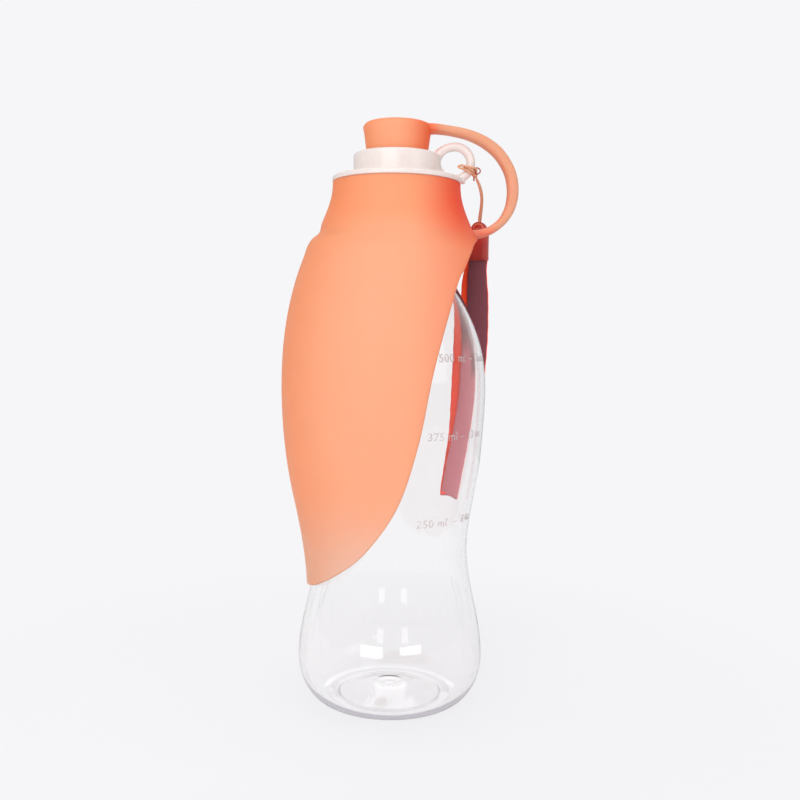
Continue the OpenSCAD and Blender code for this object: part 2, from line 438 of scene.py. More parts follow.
class Nodes:
    """Short hand for building a node tree."""

    def __init__(self, tree: bpy.types.NodeTree) -> None:
        """Starts on an empty tree."""
        self.tree = tree
        tree.nodes.clear()

    def feed(self, node: bpy.types.Node, inputs: dict[str | int, object]) -> None:
        """Sets or links a node's inputs.

        Args:
            node: The node.
            inputs: Values or sockets, by the name or number of the input.
        """
        for key, value in inputs.items():
            if isinstance(value, Socket):
                self.tree.links.new(value, node.inputs[key])
            else:
                node.inputs[key].default_value = value

    def add(self, kind: str, inputs: Optional[dict[str | int, object]] = None,
            **settings: object) -> bpy.types.Node:
        """Adds a node.

        Args:
            kind: Its type without the leading ShaderNode.
            inputs: Values or sockets for its inputs.
            **settings: Its other properties.

        Returns:
            The node.
        """
        node = self.tree.nodes.new("ShaderNode" + kind)
        for key, value in settings.items():
            setattr(node, key, value)
        self.feed(node, inputs or {})
        return node

    def maths(self, operation: str, a: object, b: object = 0.0, clamp: bool = False) -> Socket:
        """Works out a step of maths on numbers or sockets and returns the result."""
        return self.add("Math", {0: a, 1: b}, operation=operation, use_clamp=clamp).outputs[0]

    def product(self, first: object, *others: object) -> Socket:
        """Multiplies numbers or sockets.

        Args:
            first: The first of them.
            *others: The others.

        Returns:
            The result.
        """
        for other in others:
            first = self.maths("MULTIPLY", first, other)
        return first

    def distance(self, a: Socket, b: Socket) -> Socket:
        """Length of the diagonal over two lengths."""
        squares = [self.maths("POWER", self.maths("ABSOLUTE", side), 2.0) for side in (a, b)]
        return self.maths("SQRT", self.maths("ADD", *squares))

    def between(self, value: object, low: float, high: float, to_low: float = 0.0,
                to_high: float = 1.0) -> Socket:
        """Maps a range smoothly onto another and returns the result."""
        return self.add("MapRange", {"Value": value, "From Min": low, "From Max": high,
                                     "To Min": to_low, "To Max": to_high},
                        interpolation_type="SMOOTHSTEP").outputs[0]

    def blend_colours(self, share: object, a: object, b: object, mode: str = "MIX") -> Socket:
        """Mixes two colours.

        Args:
            share: How much of the second one.
            a: The first colour or its socket.
            b: The second colour or its socket.
            mode: The way in which they mix.

        Returns:
            The mixed colour.
        """
        first, second = (opaque(c) if isinstance(c, tuple) else c for c in (a, b))
        return self.add("Mix", {0: share, 6: first, 7: second}, data_type="RGBA",
                        blend_type=mode).outputs[2]

    def place(self) -> Socket:
        """Place of a point of the surface, in metres."""
        return self.add("TexCoord").outputs["Object"]

    def split(self, place: Socket) -> bpy.types.NodeOutputs:
        """The three parts of a place."""
        return self.add("SeparateXYZ", {0: place}).outputs

    def noise(self, place: Socket, scale: object, **others: float) -> Socket:
        """Adds noise and returns its height.

        Args:
            place: Where it is taken.
            scale: How fine it is.
            **others: Its other inputs.

        Returns:
            Its height, about a half on the average.
        """
        inputs = {"Vector": place, "Scale": scale} | {k.title(): v for k, v in others.items()}
        return self.add("TexNoise", inputs).outputs["Fac"]

    def bump(self, height: Socket, strength: float, distance: float) -> Socket:
        """Normal of a surface with a height on it."""
        return self.add("Bump", {"Height": height, "Strength": strength,
                                 "Distance": distance}).outputs[0]

    def facing(self) -> Socket:
        """How far the surface turns away, from 0 to 1."""
        return self.add("LayerWeight", {"Blend": 0.5}).outputs["Facing"]

    def blend_shaders(self, share: object, a: bpy.types.Node, b: bpy.types.Node) -> bpy.types.Node:
        """Mixes two shaders by a share of the second one."""
        return self.add("MixShader", {0: share, 1: a.outputs[0], 2: b.outputs[0]})

    def seen_directly(self) -> Socket:
        """Mask of what is seen directly or through clear plastic."""
        path = self.add("LightPath").outputs
        return self.maths("ADD", path["Is Camera Ray"], path["Is Transmission Ray"], clamp=True)


def opaque(colour: Colour) -> tuple[float, float, float, float]:
    """Colour with full cover."""
    return (*colour, 1.0)


def scaled(colour: Colour, share: float) -> Colour:
    """Colour at a share of its brightness."""
    return tuple(share * c for c in colour)


def linear(red: int, green: int, blue: int) -> Colour:
    """Scene colour of a screen colour.

    Args:
        red: Its red, of 0 to 255.
        green: Its green.
        blue: Its blue.

    Returns:
        The three values that a shader takes.
    """
    shares = [value / 255 for value in (red, green, blue)]
    return tuple(v / 12.92 if v <= 0.04045 else ((v + 0.055) / 1.055) ** 2.4 for v in shares)


def new_group(name: str, inputs: dict[str, tuple[str, object]],
              outputs: dict[str, str]) -> tuple[Nodes, bpy.types.NodeOutputs, bpy.types.Node]:
    """Starts a shader node group.

    Args:
        name: Its name.
        inputs: The type and first value of each input, by name.
        outputs: The type of each output, by name.

    Returns:
        The tree's short hand, what the group is given, and its output node.
    """
    tree = bpy.data.node_groups.new(name, "ShaderNodeTree")
    for label, (kind, value) in inputs.items():
        socket = tree.interface.new_socket(label, in_out="INPUT", socket_type="NodeSocket" + kind)
        if value is not None:
            socket.default_value = value
    for label, kind in outputs.items():
        tree.interface.new_socket(label, in_out="OUTPUT", socket_type="NodeSocket" + kind)
    nodes = Nodes(tree)
    given = tree.nodes.new("NodeGroupInput").outputs
    return nodes, given, tree.nodes.new("NodeGroupOutput")


class Effect(Enum):
    """Surface effects that several finishes share."""

    GRAIN = "moulded_grain"
    PAINTED_SHADE = "painted_side_shade"
    WEAVE = "woven_yarn"
    TWIST = "twisted_cord"


class Effects:
    """Builds each shared effect once and places it in materials."""

    MOTTLE_FINENESS = 2.3
    MOTTLE: Range = (0.3, 0.7)
    FUZZ: Range = (0.2, 0.8)
    # Painted shade of the yarn, from its valleys to its crests.
    WEAVE_SHADES: Range = (0.55, 1.0)
    WEAVE_FUZZ: Range = (0.82, 1.08)
    TWIST_SHADES: Range = (0.5, 1.0)
    TWIST_FUZZ: Range = (0.8, 1.1)

    def __init__(self) -> None:
        """Starts with no effect built."""
        self.built: dict[Effect, bpy.types.NodeTree] = {}

    def place(self, nodes: Nodes, effect: Effect,
              inputs: dict[str, object]) -> bpy.types.NodeOutputs:
        """Places an effect in a material.

        Args:
            nodes: The material's nodes.
            effect: Which effect.
            inputs: Its values.

        Returns:
            What the effect gives.
        """
        if effect not in self.built:
            build = {Effect.GRAIN: self.grain, Effect.PAINTED_SHADE: self.painted_shade_mask,
                     Effect.WEAVE: self.weave, Effect.TWIST: self.twist}[effect]
            self.built[effect] = build(effect.value)
        node = nodes.add("Group", node_tree=self.built[effect])
        nodes.feed(node, inputs)
        return node.outputs

    def grain(self, name: str) -> bpy.types.NodeTree:
        """Fine grain of a moulded surface, with slow waves and a light mottle.

        Args:
            name: Name of the group.

        Returns:
            The group.
        """
        n, given, out = new_group(
            name,
            {"Fine Scale": ("Float", 2500.0), "Wave Scale": ("Float", 60.0),
             "Wave Share": ("Float", 0.4)},
            {"Height": "Float", "Mottle": "Float"})
        place = n.place()
        fine = n.noise(place, given["Fine Scale"], detail=3.0, roughness=0.6)
        wave = n.noise(place, given["Wave Scale"], detail=2.0)
        height = n.add("Mix", {0: given["Wave Share"], 2: fine, 3: wave}, data_type="FLOAT")
        blotch = n.product(given["Wave Scale"], self.MOTTLE_FINENESS)
        mottle = n.between(n.noise(place, blotch, detail=5.0), *self.MOTTLE)
        n.feed(out, {"Height": height.outputs[0], "Mottle": mottle})
        return n.tree

    def painted_shade_mask(self, name: str) -> bpy.types.NodeTree:
        """Mask of painted shade that deepens from one X to another and from one height to another.

        Args:
            name: Name of the group.

        Returns:
            The group.
        """
        n, given, out = new_group(
            name,
            {"From X": ("Float", 0.0), "To X": ("Float", 0.03), "From Z": ("Float", 0.18),
             "To Z": ("Float", 0.2)},
            {"Mask": "Float"})
        split = n.split(n.place())
        masks = [n.add("MapRange", {"Value": split[axis], "From Min": given["From " + axis],
                                    "From Max": given["To " + axis]},
                       interpolation_type="SMOOTHSTEP").outputs[0] for axis in "XZ"]
        n.feed(out, {"Mask": n.product(*masks)})
        return n.tree

    def shade(self, n: Nodes, height: Socket, shades: Range, uneven: Socket,
              fuzz: Range) -> Socket:
        """Painted shade of yarn, dark in its valleys and uneven with fuzz.

        Args:
            n: Nodes of the group.
            height: Height of the yarn, from 0 to 1.
            shades: Shade in the valleys and on the crests.
            uneven: Noise of the fuzz.
            fuzz: Its least and most shade.

        Returns:
            The shade.
        """
        return n.product(n.between(height, 0.0, 1.0, *shades),
                         n.between(uneven, *self.FUZZ, *fuzz))

    def weave(self, name: str) -> bpy.types.NodeTree:
        """Plain weave whose yarns follow the piece, from its own pair of lengths in millimetres.

        Args:
            name: Name of the group.

        Returns:
            The group.
        """
        n, given, out = new_group(
            name, {"Along": ("Vector", None), "Yarn": ("Float", 0.45)},
            {"Height": "Float", "Shade": "Float"})
        split = n.split(given["Along"])
        turns = n.maths("DIVIDE", math.pi, given["Yarn"])
        waves = [n.maths("SINE", n.product(split[axis], turns)) for axis in "XY"]
        weft, warp = (n.maths("ABSOLUTE", wave) for wave in waves)
        over = n.maths("GREATER_THAN", n.product(*waves), 0.0)
        height = n.add("Mix", {0: over, 2: warp, 3: weft}, data_type="FLOAT").outputs[0]
        uneven = n.noise(given["Along"], 1.7, detail=4.0)
        shade = self.shade(n, height, self.WEAVE_SHADES, uneven, self.WEAVE_FUZZ)
        n.feed(out, {"Height": height, "Shade": shade})
        return n.tree

    def twist(self, name: str) -> bpy.types.NodeTree:
        """Strands of a laid cord, from its own pair of lengths in millimetres.

        Args:
            name: Name of the group.

        Returns:
            The group.
        """
        n, given, out = new_group(
            name,
            {"Along": ("Vector", None), "Pitch": ("Float", 1.4), "Width": ("Float", 1.2)},
            {"Height": "Float", "Shade": "Float"})
        split = n.split(given["Along"])
        slant = n.maths("ADD", n.maths("DIVIDE", split["X"], given["Pitch"]),
                        n.maths("DIVIDE", split["Y"], given["Width"]))
        height = n.maths("ABSOLUTE", n.maths("SINE", n.product(slant, math.pi)))
        uneven = n.noise(given["Along"], 3.0, detail=3.0)
        shade = self.shade(n, height, self.TWIST_SHADES, uneven, self.TWIST_FUZZ)
        n.feed(out, {"Height": height, "Shade": shade})
        return n.tree


EFFECTS = Effects()


# ---- Finishes ----

class Dressing:
    """What every finish has in common: a name, and a shader that its own class builds."""

    name: str

    def shader(self, n: Nodes) -> bpy.types.Node:
        """Adds the shader to the nodes of a new material."""
        raise NotImplementedError

    def material(self) -> Finish:
        """Builds the material.

        Returns:
            The material.
        """
        material = bpy.data.materials.new(self.name)
        material.use_nodes = True
        n = Nodes(material.node_tree)
        out = n.add("OutputMaterial")
        n.feed(out, {"Surface": self.shader(n).outputs[0]})
        return material

    def grain(self, n: Nodes, fine: float, wave: float, share: float) -> bpy.types.NodeOutputs:
        """Places the moulded grain.

        Args:
            n: Nodes of the material.
            fine: Scale of the fine grain.
            wave: Scale of the slow waves.
            share: Share of the waves.

        Returns:
            Its height and its mottle.
        """
        return EFFECTS.place(n, Effect.GRAIN, {"Fine Scale": fine, "Wave Scale": wave,
                                               "Wave Share": share})

    def uneven(self, n: Nodes, mottle: Socket, value: float, spread: Flat) -> Socket:
        """Value that varies with the mottle, by so much down and up."""
        return n.between(mottle, 0.0, 1.0, value + spread[0], value + spread[1])


@dataclass(frozen=True)
class ClearPlastic(Dressing):
    """Clear moulded plastic, thin enough to let its shadow through.

    It is rippled round its lower back. Its right side and the front of the foot ring take painted
    shade, the ring a painted shadow line, and the thick heel's outline a painted dark reflection.
    """

    tint: Colour = (0.995, 0.990, 0.989)
    mottled: float = 0.997
    shadow: Colour = (0.94, 0.94, 0.945)
    roughness: float = 0.02
    ior: float = 1.47
    bump_depth: float = 0.0006
    waviness: float = 0.06
    ripple: float = 1.4
    ripple_scale: float = 130.0
    ripple_stretch: Place = (1.0, 1.0, 0.16)
    ripple_behind: Range = (0.004, 0.016)
    ripple_below: Range = (0.082, 0.074)
    ripple_above: Range = (0.006, 0.014)
    # Painted shade on the right side, where the wall turns away.
    painted_flank_shade: Colour = (0.955, 0.949, 0.952)
    painted_flank_facing: Range = (0.3, 0.6)
    painted_flank_from: Range = (0.014, 0.024)
    # Painted shade on the front of the foot ring, and a darker painted shadow line along it.
    foot: Colour = (0.88, 0.868, 0.882)
    painted_foot_shadow_line: Colour = (0.62, 0.6, 0.64)
    foot_before: Range = (0.012, 0.0)
    foot_below: Range = (0.0045, 0.0035)
    foot_reach: tuple[Range, Range] = ((0.0205, 0.0215), (0.0275, 0.0262))
    line_reach: tuple[Range, Range] = ((0.021, 0.0214), (0.0221, 0.0217))
    # Colour of a painted dark reflection along the thick heel's outline.
    heel: Colour = (0.40, 0.375, 0.43)
    heel_centre: Flat = (0.0255, 0.019)
    heel_radii: Flat = (0.0131, 0.019)
    heel_shell: Range = (0.94, 0.97)
    heel_before: Range = (0.01, 0.0)
    heel_fade: float = 0.002
    heel_rise: Range = (0.003, 0.014)
    heel_facing: Range = (0.42, 0.84)
    heel_edge: float = 0.1
    heel_below: Range = (0.03, 0.014)
    name: str = "clear_plastic_wall"

    def shader(self, n: Nodes) -> bpy.types.Node:
        """Adds the shader, which lets shadow and stray light pass.

        Args:
            n: Nodes of the material.

        Returns:
            The shader.
        """
        grain = self.grain(n, fine=160.0, wave=34.0, share=0.8)
        place = n.place()
        split = n.split(place)
        height = n.maths("ADD", n.product(grain["Height"], self.waviness),
                         self.ripples(n, place, split))
        tint = n.blend_colours(grain["Mottle"], self.tint, scaled(self.tint, self.mottled))
        wall = n.add("BsdfPrincipled", {
            "Base Color": self.shade(n, split, tint), "Roughness": self.roughness, "IOR": self.ior,
            "Transmission Weight": 1.0,
            "Normal": n.bump(height, strength=1.0, distance=self.bump_depth)})
        path = n.add("LightPath").outputs
        ghost = n.add("BsdfTransparent", {"Color": opaque(self.shadow)})
        passing = n.maths("MAXIMUM", path["Is Shadow Ray"], path["Is Diffuse Ray"])
        return n.blend_shaders(passing, wall, ghost)

    def ripples(self, n: Nodes, place: Socket, split: bpy.types.NodeOutputs) -> Socket:
        """Height of the ripples round the lower back.

        Args:
            n: Nodes of the material.
            place: Place on the surface.
            split: Its three parts.

        Returns:
            The height.
        """
        upright = n.add("VectorMath", {0: place, 1: self.ripple_stretch},
                        operation="MULTIPLY").outputs[0]
        where = n.product(n.between(split["Y"], *self.ripple_behind),
                          n.between(split["Z"], *self.ripple_below),
                          n.between(split["Z"], *self.ripple_above))
        return n.product(n.noise(upright, self.ripple_scale, detail=2.0), where, self.ripple)

    def shade(self, n: Nodes, split: bpy.types.NodeOutputs, tint: Socket) -> Socket:
        """Paints shade on the right side and the foot ring, and a dark reflection on the heel.

        Args:
            n: Nodes of the material.
            split: The three parts of a place on the surface.
            tint: Tint of the plain wall.

        Returns:
            The tint with its painted shade and painted dark reflection.
        """
        facing = n.facing()
        # Painted shade on the right side at grazing angles.
        painted_flank_mask = n.product(n.between(facing, *self.painted_flank_facing),
                           n.between(split["X"], *self.painted_flank_from))
        tint = n.blend_colours(painted_flank_mask, tint, self.painted_flank_shade)
        reach = n.distance(split["X"], split["Y"])
        front = n.product(n.between(split["Y"], *self.foot_before),
                          n.between(split["Z"], *self.foot_below))
        # Painted shade on the foot ring's front, and a painted shadow line at its inner edge.
        for bounds, colour in ((self.foot_reach, self.foot), (self.line_reach, self.painted_foot_shadow_line)):
            ring = n.product(*(n.between(reach, *bound) for bound in bounds))
            tint = n.blend_colours(n.product(ring, front), tint, colour)
        # Painted dark reflection along the heel's outline.
        return n.blend_colours(self.painted_heel_reflection_mask(n, split, reach, facing), tint, self.heel)

    def painted_heel_reflection_mask(self, n: Nodes, split: bpy.types.NodeOutputs, reach: Socket,
                  facing: Socket) -> Socket:
        """Mask of a painted dark reflection along the thick heel's outline, on the outer face and
        in front only.

        Args:
            n: Nodes of the material.
            split: The three parts of a place on the surface.
            reach: Distance from the bottle's axis.
            facing: How far the surface turns away.

        Returns:
            The mask.
        """
        middle_r, middle_h = self.heel_centre
        across = n.maths("DIVIDE", n.maths("SUBTRACT", reach, middle_r), self.heel_radii[0])
        down = n.maths("DIVIDE", n.maths("SUBTRACT", middle_h, split["Z"]), self.heel_radii[1])
        shell = n.maths("SQRT", n.maths("ADD", n.product(across, across), n.product(down, down)))
        starts = n.between(split["Z"], *self.heel_rise, *self.heel_facing)
        return n.product(n.between(shell, *self.heel_shell),
                         n.between(split["Y"], *self.heel_before),
                         n.between(reach, middle_r, middle_r + self.heel_fade),
                         n.between(n.maths("SUBTRACT", facing, starts), 0.0, self.heel_edge),
                         n.between(split["Z"], *self.heel_below))


@dataclass(frozen=True)
class Silicone(Dressing):
    """Soft silicone with light under its surface.

    Its colour deepens with painted shade across a span of X and height, changes above one height,
    takes painted shading below another, and reddens with painted shade towards the outline.
    """

    name: str
    colour: Colour
    # Colour of the painted shade.
    painted_shade_colour: Colour
    upper: Colour
    # Painted light on the leaf's lower part; on the strap, painted shade at its root.
    pale: Colour
    scatter: float = 0.25
    roughness: float = 0.5
    rough_spread: Flat = (-0.04, 0.05)
    # Painted shade, redder, that the colour is multiplied by towards the outline.
    rim: Colour = (1.0, 0.80, 0.66)
    painted_rim_facing: Range = (0.06, 0.68)
    painted_shade_x: Range = (0.004, 0.030)
    painted_shade_z: Range = (0.176, 0.208)
    # Share of painted shade towards +X at every height.
    side: float = 0.0
    painted_side_x: Range = (0.004, 0.026)
    upper_above: Range = (0.190, 0.204)
    painted_light_and_shade_below: Range = (0.096, 0.054)
    mottle: float = 0.06
    mottled: float = 0.8

    def shader(self, n: Nodes) -> bpy.types.Node:
        """Adds the shader.

        Args:
            n: Nodes of the material.

        Returns:
            The shader.
        """
        grain = self.grain(n, fine=2600.0, wave=45.0, share=0.25)
        painted_shade_mask = EFFECTS.place(n, Effect.PAINTED_SHADE, {
            "From X": self.painted_shade_x[0], "To X": self.painted_shade_x[1], "From Z": self.painted_shade_z[0],
            "To Z": self.painted_shade_z[1]})["Mask"]
        split = n.split(n.place())
        base = n.blend_colours(n.between(split["Z"], *self.upper_above), self.colour, self.upper)
        # Painted light, paler, on the leaf's lower part; on the strap, painted shade at its root.
        base = n.blend_colours(n.between(split["Z"], *self.painted_light_and_shade_below), base, self.pale)
        # Painted shade towards +X, and across the mask's span of X and height.
        side = n.between(split["X"], *self.painted_side_x, 0.0, self.side)
        base = n.blend_colours(n.maths("MAXIMUM", painted_shade_mask, side), base, self.painted_shade_colour)
        base = n.blend_colours(n.product(grain["Mottle"], self.mottle), base,
                               scaled(self.colour, self.mottled))
        # Painted shade towards the outline, where the surface turns away.
        base = n.blend_colours(n.between(n.facing(), *self.painted_rim_facing), base,
                               n.blend_colours(1.0, base, self.rim, "MULTIPLY"))
        return n.add("BsdfPrincipled", {
            "Base Color": base,
            "Roughness": self.uneven(n, grain["Mottle"], self.roughness, self.rough_spread),
            "IOR": 1.41, "Specular IOR Level": 0.32, "Subsurface Weight": self.scatter,
            "Subsurface Radius": (1.0, 0.42, 0.24), "Subsurface Scale": 0.0025,
            "Normal": n.bump(grain["Height"], strength=0.12, distance=0.0002)})


@dataclass(frozen=True)
class HardPlastic(Dressing):
    """Glossy moulded plastic."""

    name: str
    colour: Colour
    second: Colour
    roughness: float = 0.28
    scatter: float = 0.0
    relief: float = 0.08
    coat: float = 0.0
    mottle: float = 0.5
    rough_spread: Flat = (-0.03, 0.05)

    def shader(self, n: Nodes) -> bpy.types.Node:
        """Adds the shader.

        Args:
            n: Nodes of the material.

        Returns:
            The shader.
        """
        grain = self.grain(n, fine=1800.0, wave=90.0, share=0.5)
        base = n.blend_colours(n.product(grain["Mottle"], self.mottle), self.colour, self.second)
        return n.add("BsdfPrincipled", {
            "Base Color": base,
            "Roughness": self.uneven(n, grain["Mottle"], self.roughness, self.rough_spread),
            "IOR": 1.5, "Subsurface Weight": self.scatter, "Subsurface Radius": (1.0, 0.8, 0.7),
            "Subsurface Scale": 0.002, "Coat Weight": self.coat, "Coat Roughness": 0.12,
            "Normal": n.bump(grain["Height"], self.relief, 0.0002)})


@dataclass(frozen=True)
class LaidCord(Dressing):
    """Thin laid cord."""

    colour: Colour = linear(236, 178, 140)
    # Painted shade in the valleys between the strands.
    painted_valley_shade: Colour = linear(214, 146, 110)
    name: str = "laid_cord"
    shades: Range = (0.45, 0.95)

    def shader(self, n: Nodes) -> bpy.types.Node:
        """Adds the shader.

        Args:
            n: Nodes of the material.

        Returns:
            The shader.
        """
        along = n.add("UVMap", uv_map=UV_NAME).outputs[0]
        twist = EFFECTS.place(n, Effect.TWIST, {"Along": along})
        # Painted shade in the valleys between the strands.
        base = n.blend_colours(n.between(twist["Shade"], *self.shades), self.painted_valley_shade, self.colour)
        return n.add("BsdfPrincipled", {
            "Base Color": base, "Roughness": 0.62, "Sheen Weight": 0.15,
            "Normal": n.bump(twist["Height"], strength=0.3, distance=0.00008)})


@dataclass(frozen=True)
class WovenRibbon(Dressing):
    """One face of the woven ribbon, letting some light through, with a painted veil lower down."""

    name: str
    colour: Colour
    shadow: Colour
    # Colour seen through the bottle: on the outer face a paler painted veil of its reflections.
    low: Colour
    yarn: float = 0.42
    shades: Range = (0.5, 1.0)
    painted_veil_valley_share: float = 0.8
    through: float = 0.3
    painted_veil_below: Range = (0.157, 0.142)
    painted_veil_before: Range = (0.0380, 0.0355)
    painted_veil_all_below: Range = (0.140, 0.133)

    def shader(self, n: Nodes) -> bpy.types.Node:
        """Adds the shader.

        Args:
            n: Nodes of the material.

        Returns:
            The shader.
        """
        along = n.add("UVMap", uv_map=UV_NAME).outputs[0]
        weave = EFFECTS.place(n, Effect.WEAVE, {"Along": along, "Yarn": self.yarn})
        split = n.split(n.place())
        # Painted veil of the bottle's reflections over the ribbon's lower part behind the bottle.
        down = n.product(n.between(split["Z"], *self.painted_veil_below),
                         n.between(split["X"], *self.painted_veil_before))
        down = n.maths("MAXIMUM", down, n.between(split["Z"], *self.painted_veil_all_below))
        # Painted shade in the valleys of the weave, in the shadow colour.
        yarn = n.between(weave["Shade"], *self.shades)
        base = n.blend_colours(yarn, self.shadow, self.colour)
        low = n.blend_colours(yarn, scaled(self.low, self.painted_veil_valley_share), self.low)
        base = n.blend_colours(down, base, low)
        normal = n.bump(weave["Height"], strength=0.6, distance=0.00012)
        cloth = n.add("BsdfPrincipled", {
            "Base Color": base, "Roughness": 0.8, "Specular IOR Level": 0.2, "Normal": normal})
        passed = n.add("BsdfTranslucent", {"Color": base, "Normal": normal})
        return n.blend_shaders(self.through, cloth, passed)


@dataclass(frozen=True)
class RaisedMark(Dressing):
    """Faint frosted face of a raised fill mark."""

    colour: Colour = linear(228, 214, 214)
    cover: float = 0.42
    cover_spread: Flat = (-0.16, 0.12)
    name: str = "raised_mark"

    def shader(self, n: Nodes) -> bpy.types.Node:
        """Adds the shader.

        Args:
            n: Nodes of the material.

        Returns:
            The shader.
        """
        grain = self.grain(n, fine=2400.0, wave=260.0, share=0.5)
        return n.add("BsdfPrincipled", {
            "Base Color": opaque(self.colour), "Roughness": 0.35,
            "Alpha": self.uneven(n, grain["Mottle"], self.cover, self.cover_spread),
            "Normal": n.bump(grain["Height"], strength=0.3, distance=0.0002)})


@dataclass(frozen=True)
class PaleFloor(Dressing):
    """Floor in the backdrop's colour, but for the shade that lies on it near the bottle."""

    backdrop: Colour
    colour: Colour = linear(252, 251, 253)
    clouds: Colour = linear(248, 247, 250)
    cloud_share: float = 0.25
    shaded_within: Range = (0.24, 0.09)
    shade_share: float = 0.27
    name: str = "pale_floor"

    def shader(self, n: Nodes) -> bpy.types.Node:
        """Adds the shader.

        Args:
            n: Nodes of the material.

        Returns:
            The shader.
        """
        place = n.place()
        reach = n.add("VectorMath", {0: place}, operation="LENGTH").outputs["Value"]
        near = n.between(reach, *self.shaded_within)
        cloud = n.product(n.noise(place, 9.0, detail=2.0), self.cloud_share)
        matt = n.add("BsdfDiffuse", {"Color": n.blend_colours(cloud, self.colour, self.clouds)})
        glow = n.add("Emission", {"Color": opaque(self.backdrop), "Strength": 1.0})
        shade = n.maths("SUBTRACT", 1.0, n.product(near, self.shade_share))
        return n.blend_shaders(n.product(n.seen_directly(), shade), matt, glow)


# ---- Threads ----

@dataclass(frozen=True)
class ThreadForm:
    """Screw thread, as a ridge that winds round a turned wall."""

    start: float
    turns: float
    depth: float
    run_out: float
    crest: float
    root: float
    pitch: float = 3.0

    def height(self, z: float, angle: float) -> float:
        """Height of the ridge at a place on the wall.

        Args:
            z: Height of the place.
            angle: Its direction from the axis, in radians.

        Returns:
            How far the ridge stands out there.
        """
        turn = angle / (2 * math.pi)
        total = 0.0
        for k in range(int(self.turns) + 2):
            place = turn + k
            if not 0 <= place <= self.turns:
                continue
            fade = min(ease(0, self.run_out, place),
                       ease(self.turns, self.turns - self.run_out, place))
            off = abs(z - (self.start - self.pitch * place))
            total = max(total, fade * self.depth * ease(self.root, self.crest, off))
        return total


# ---- Bottle ----

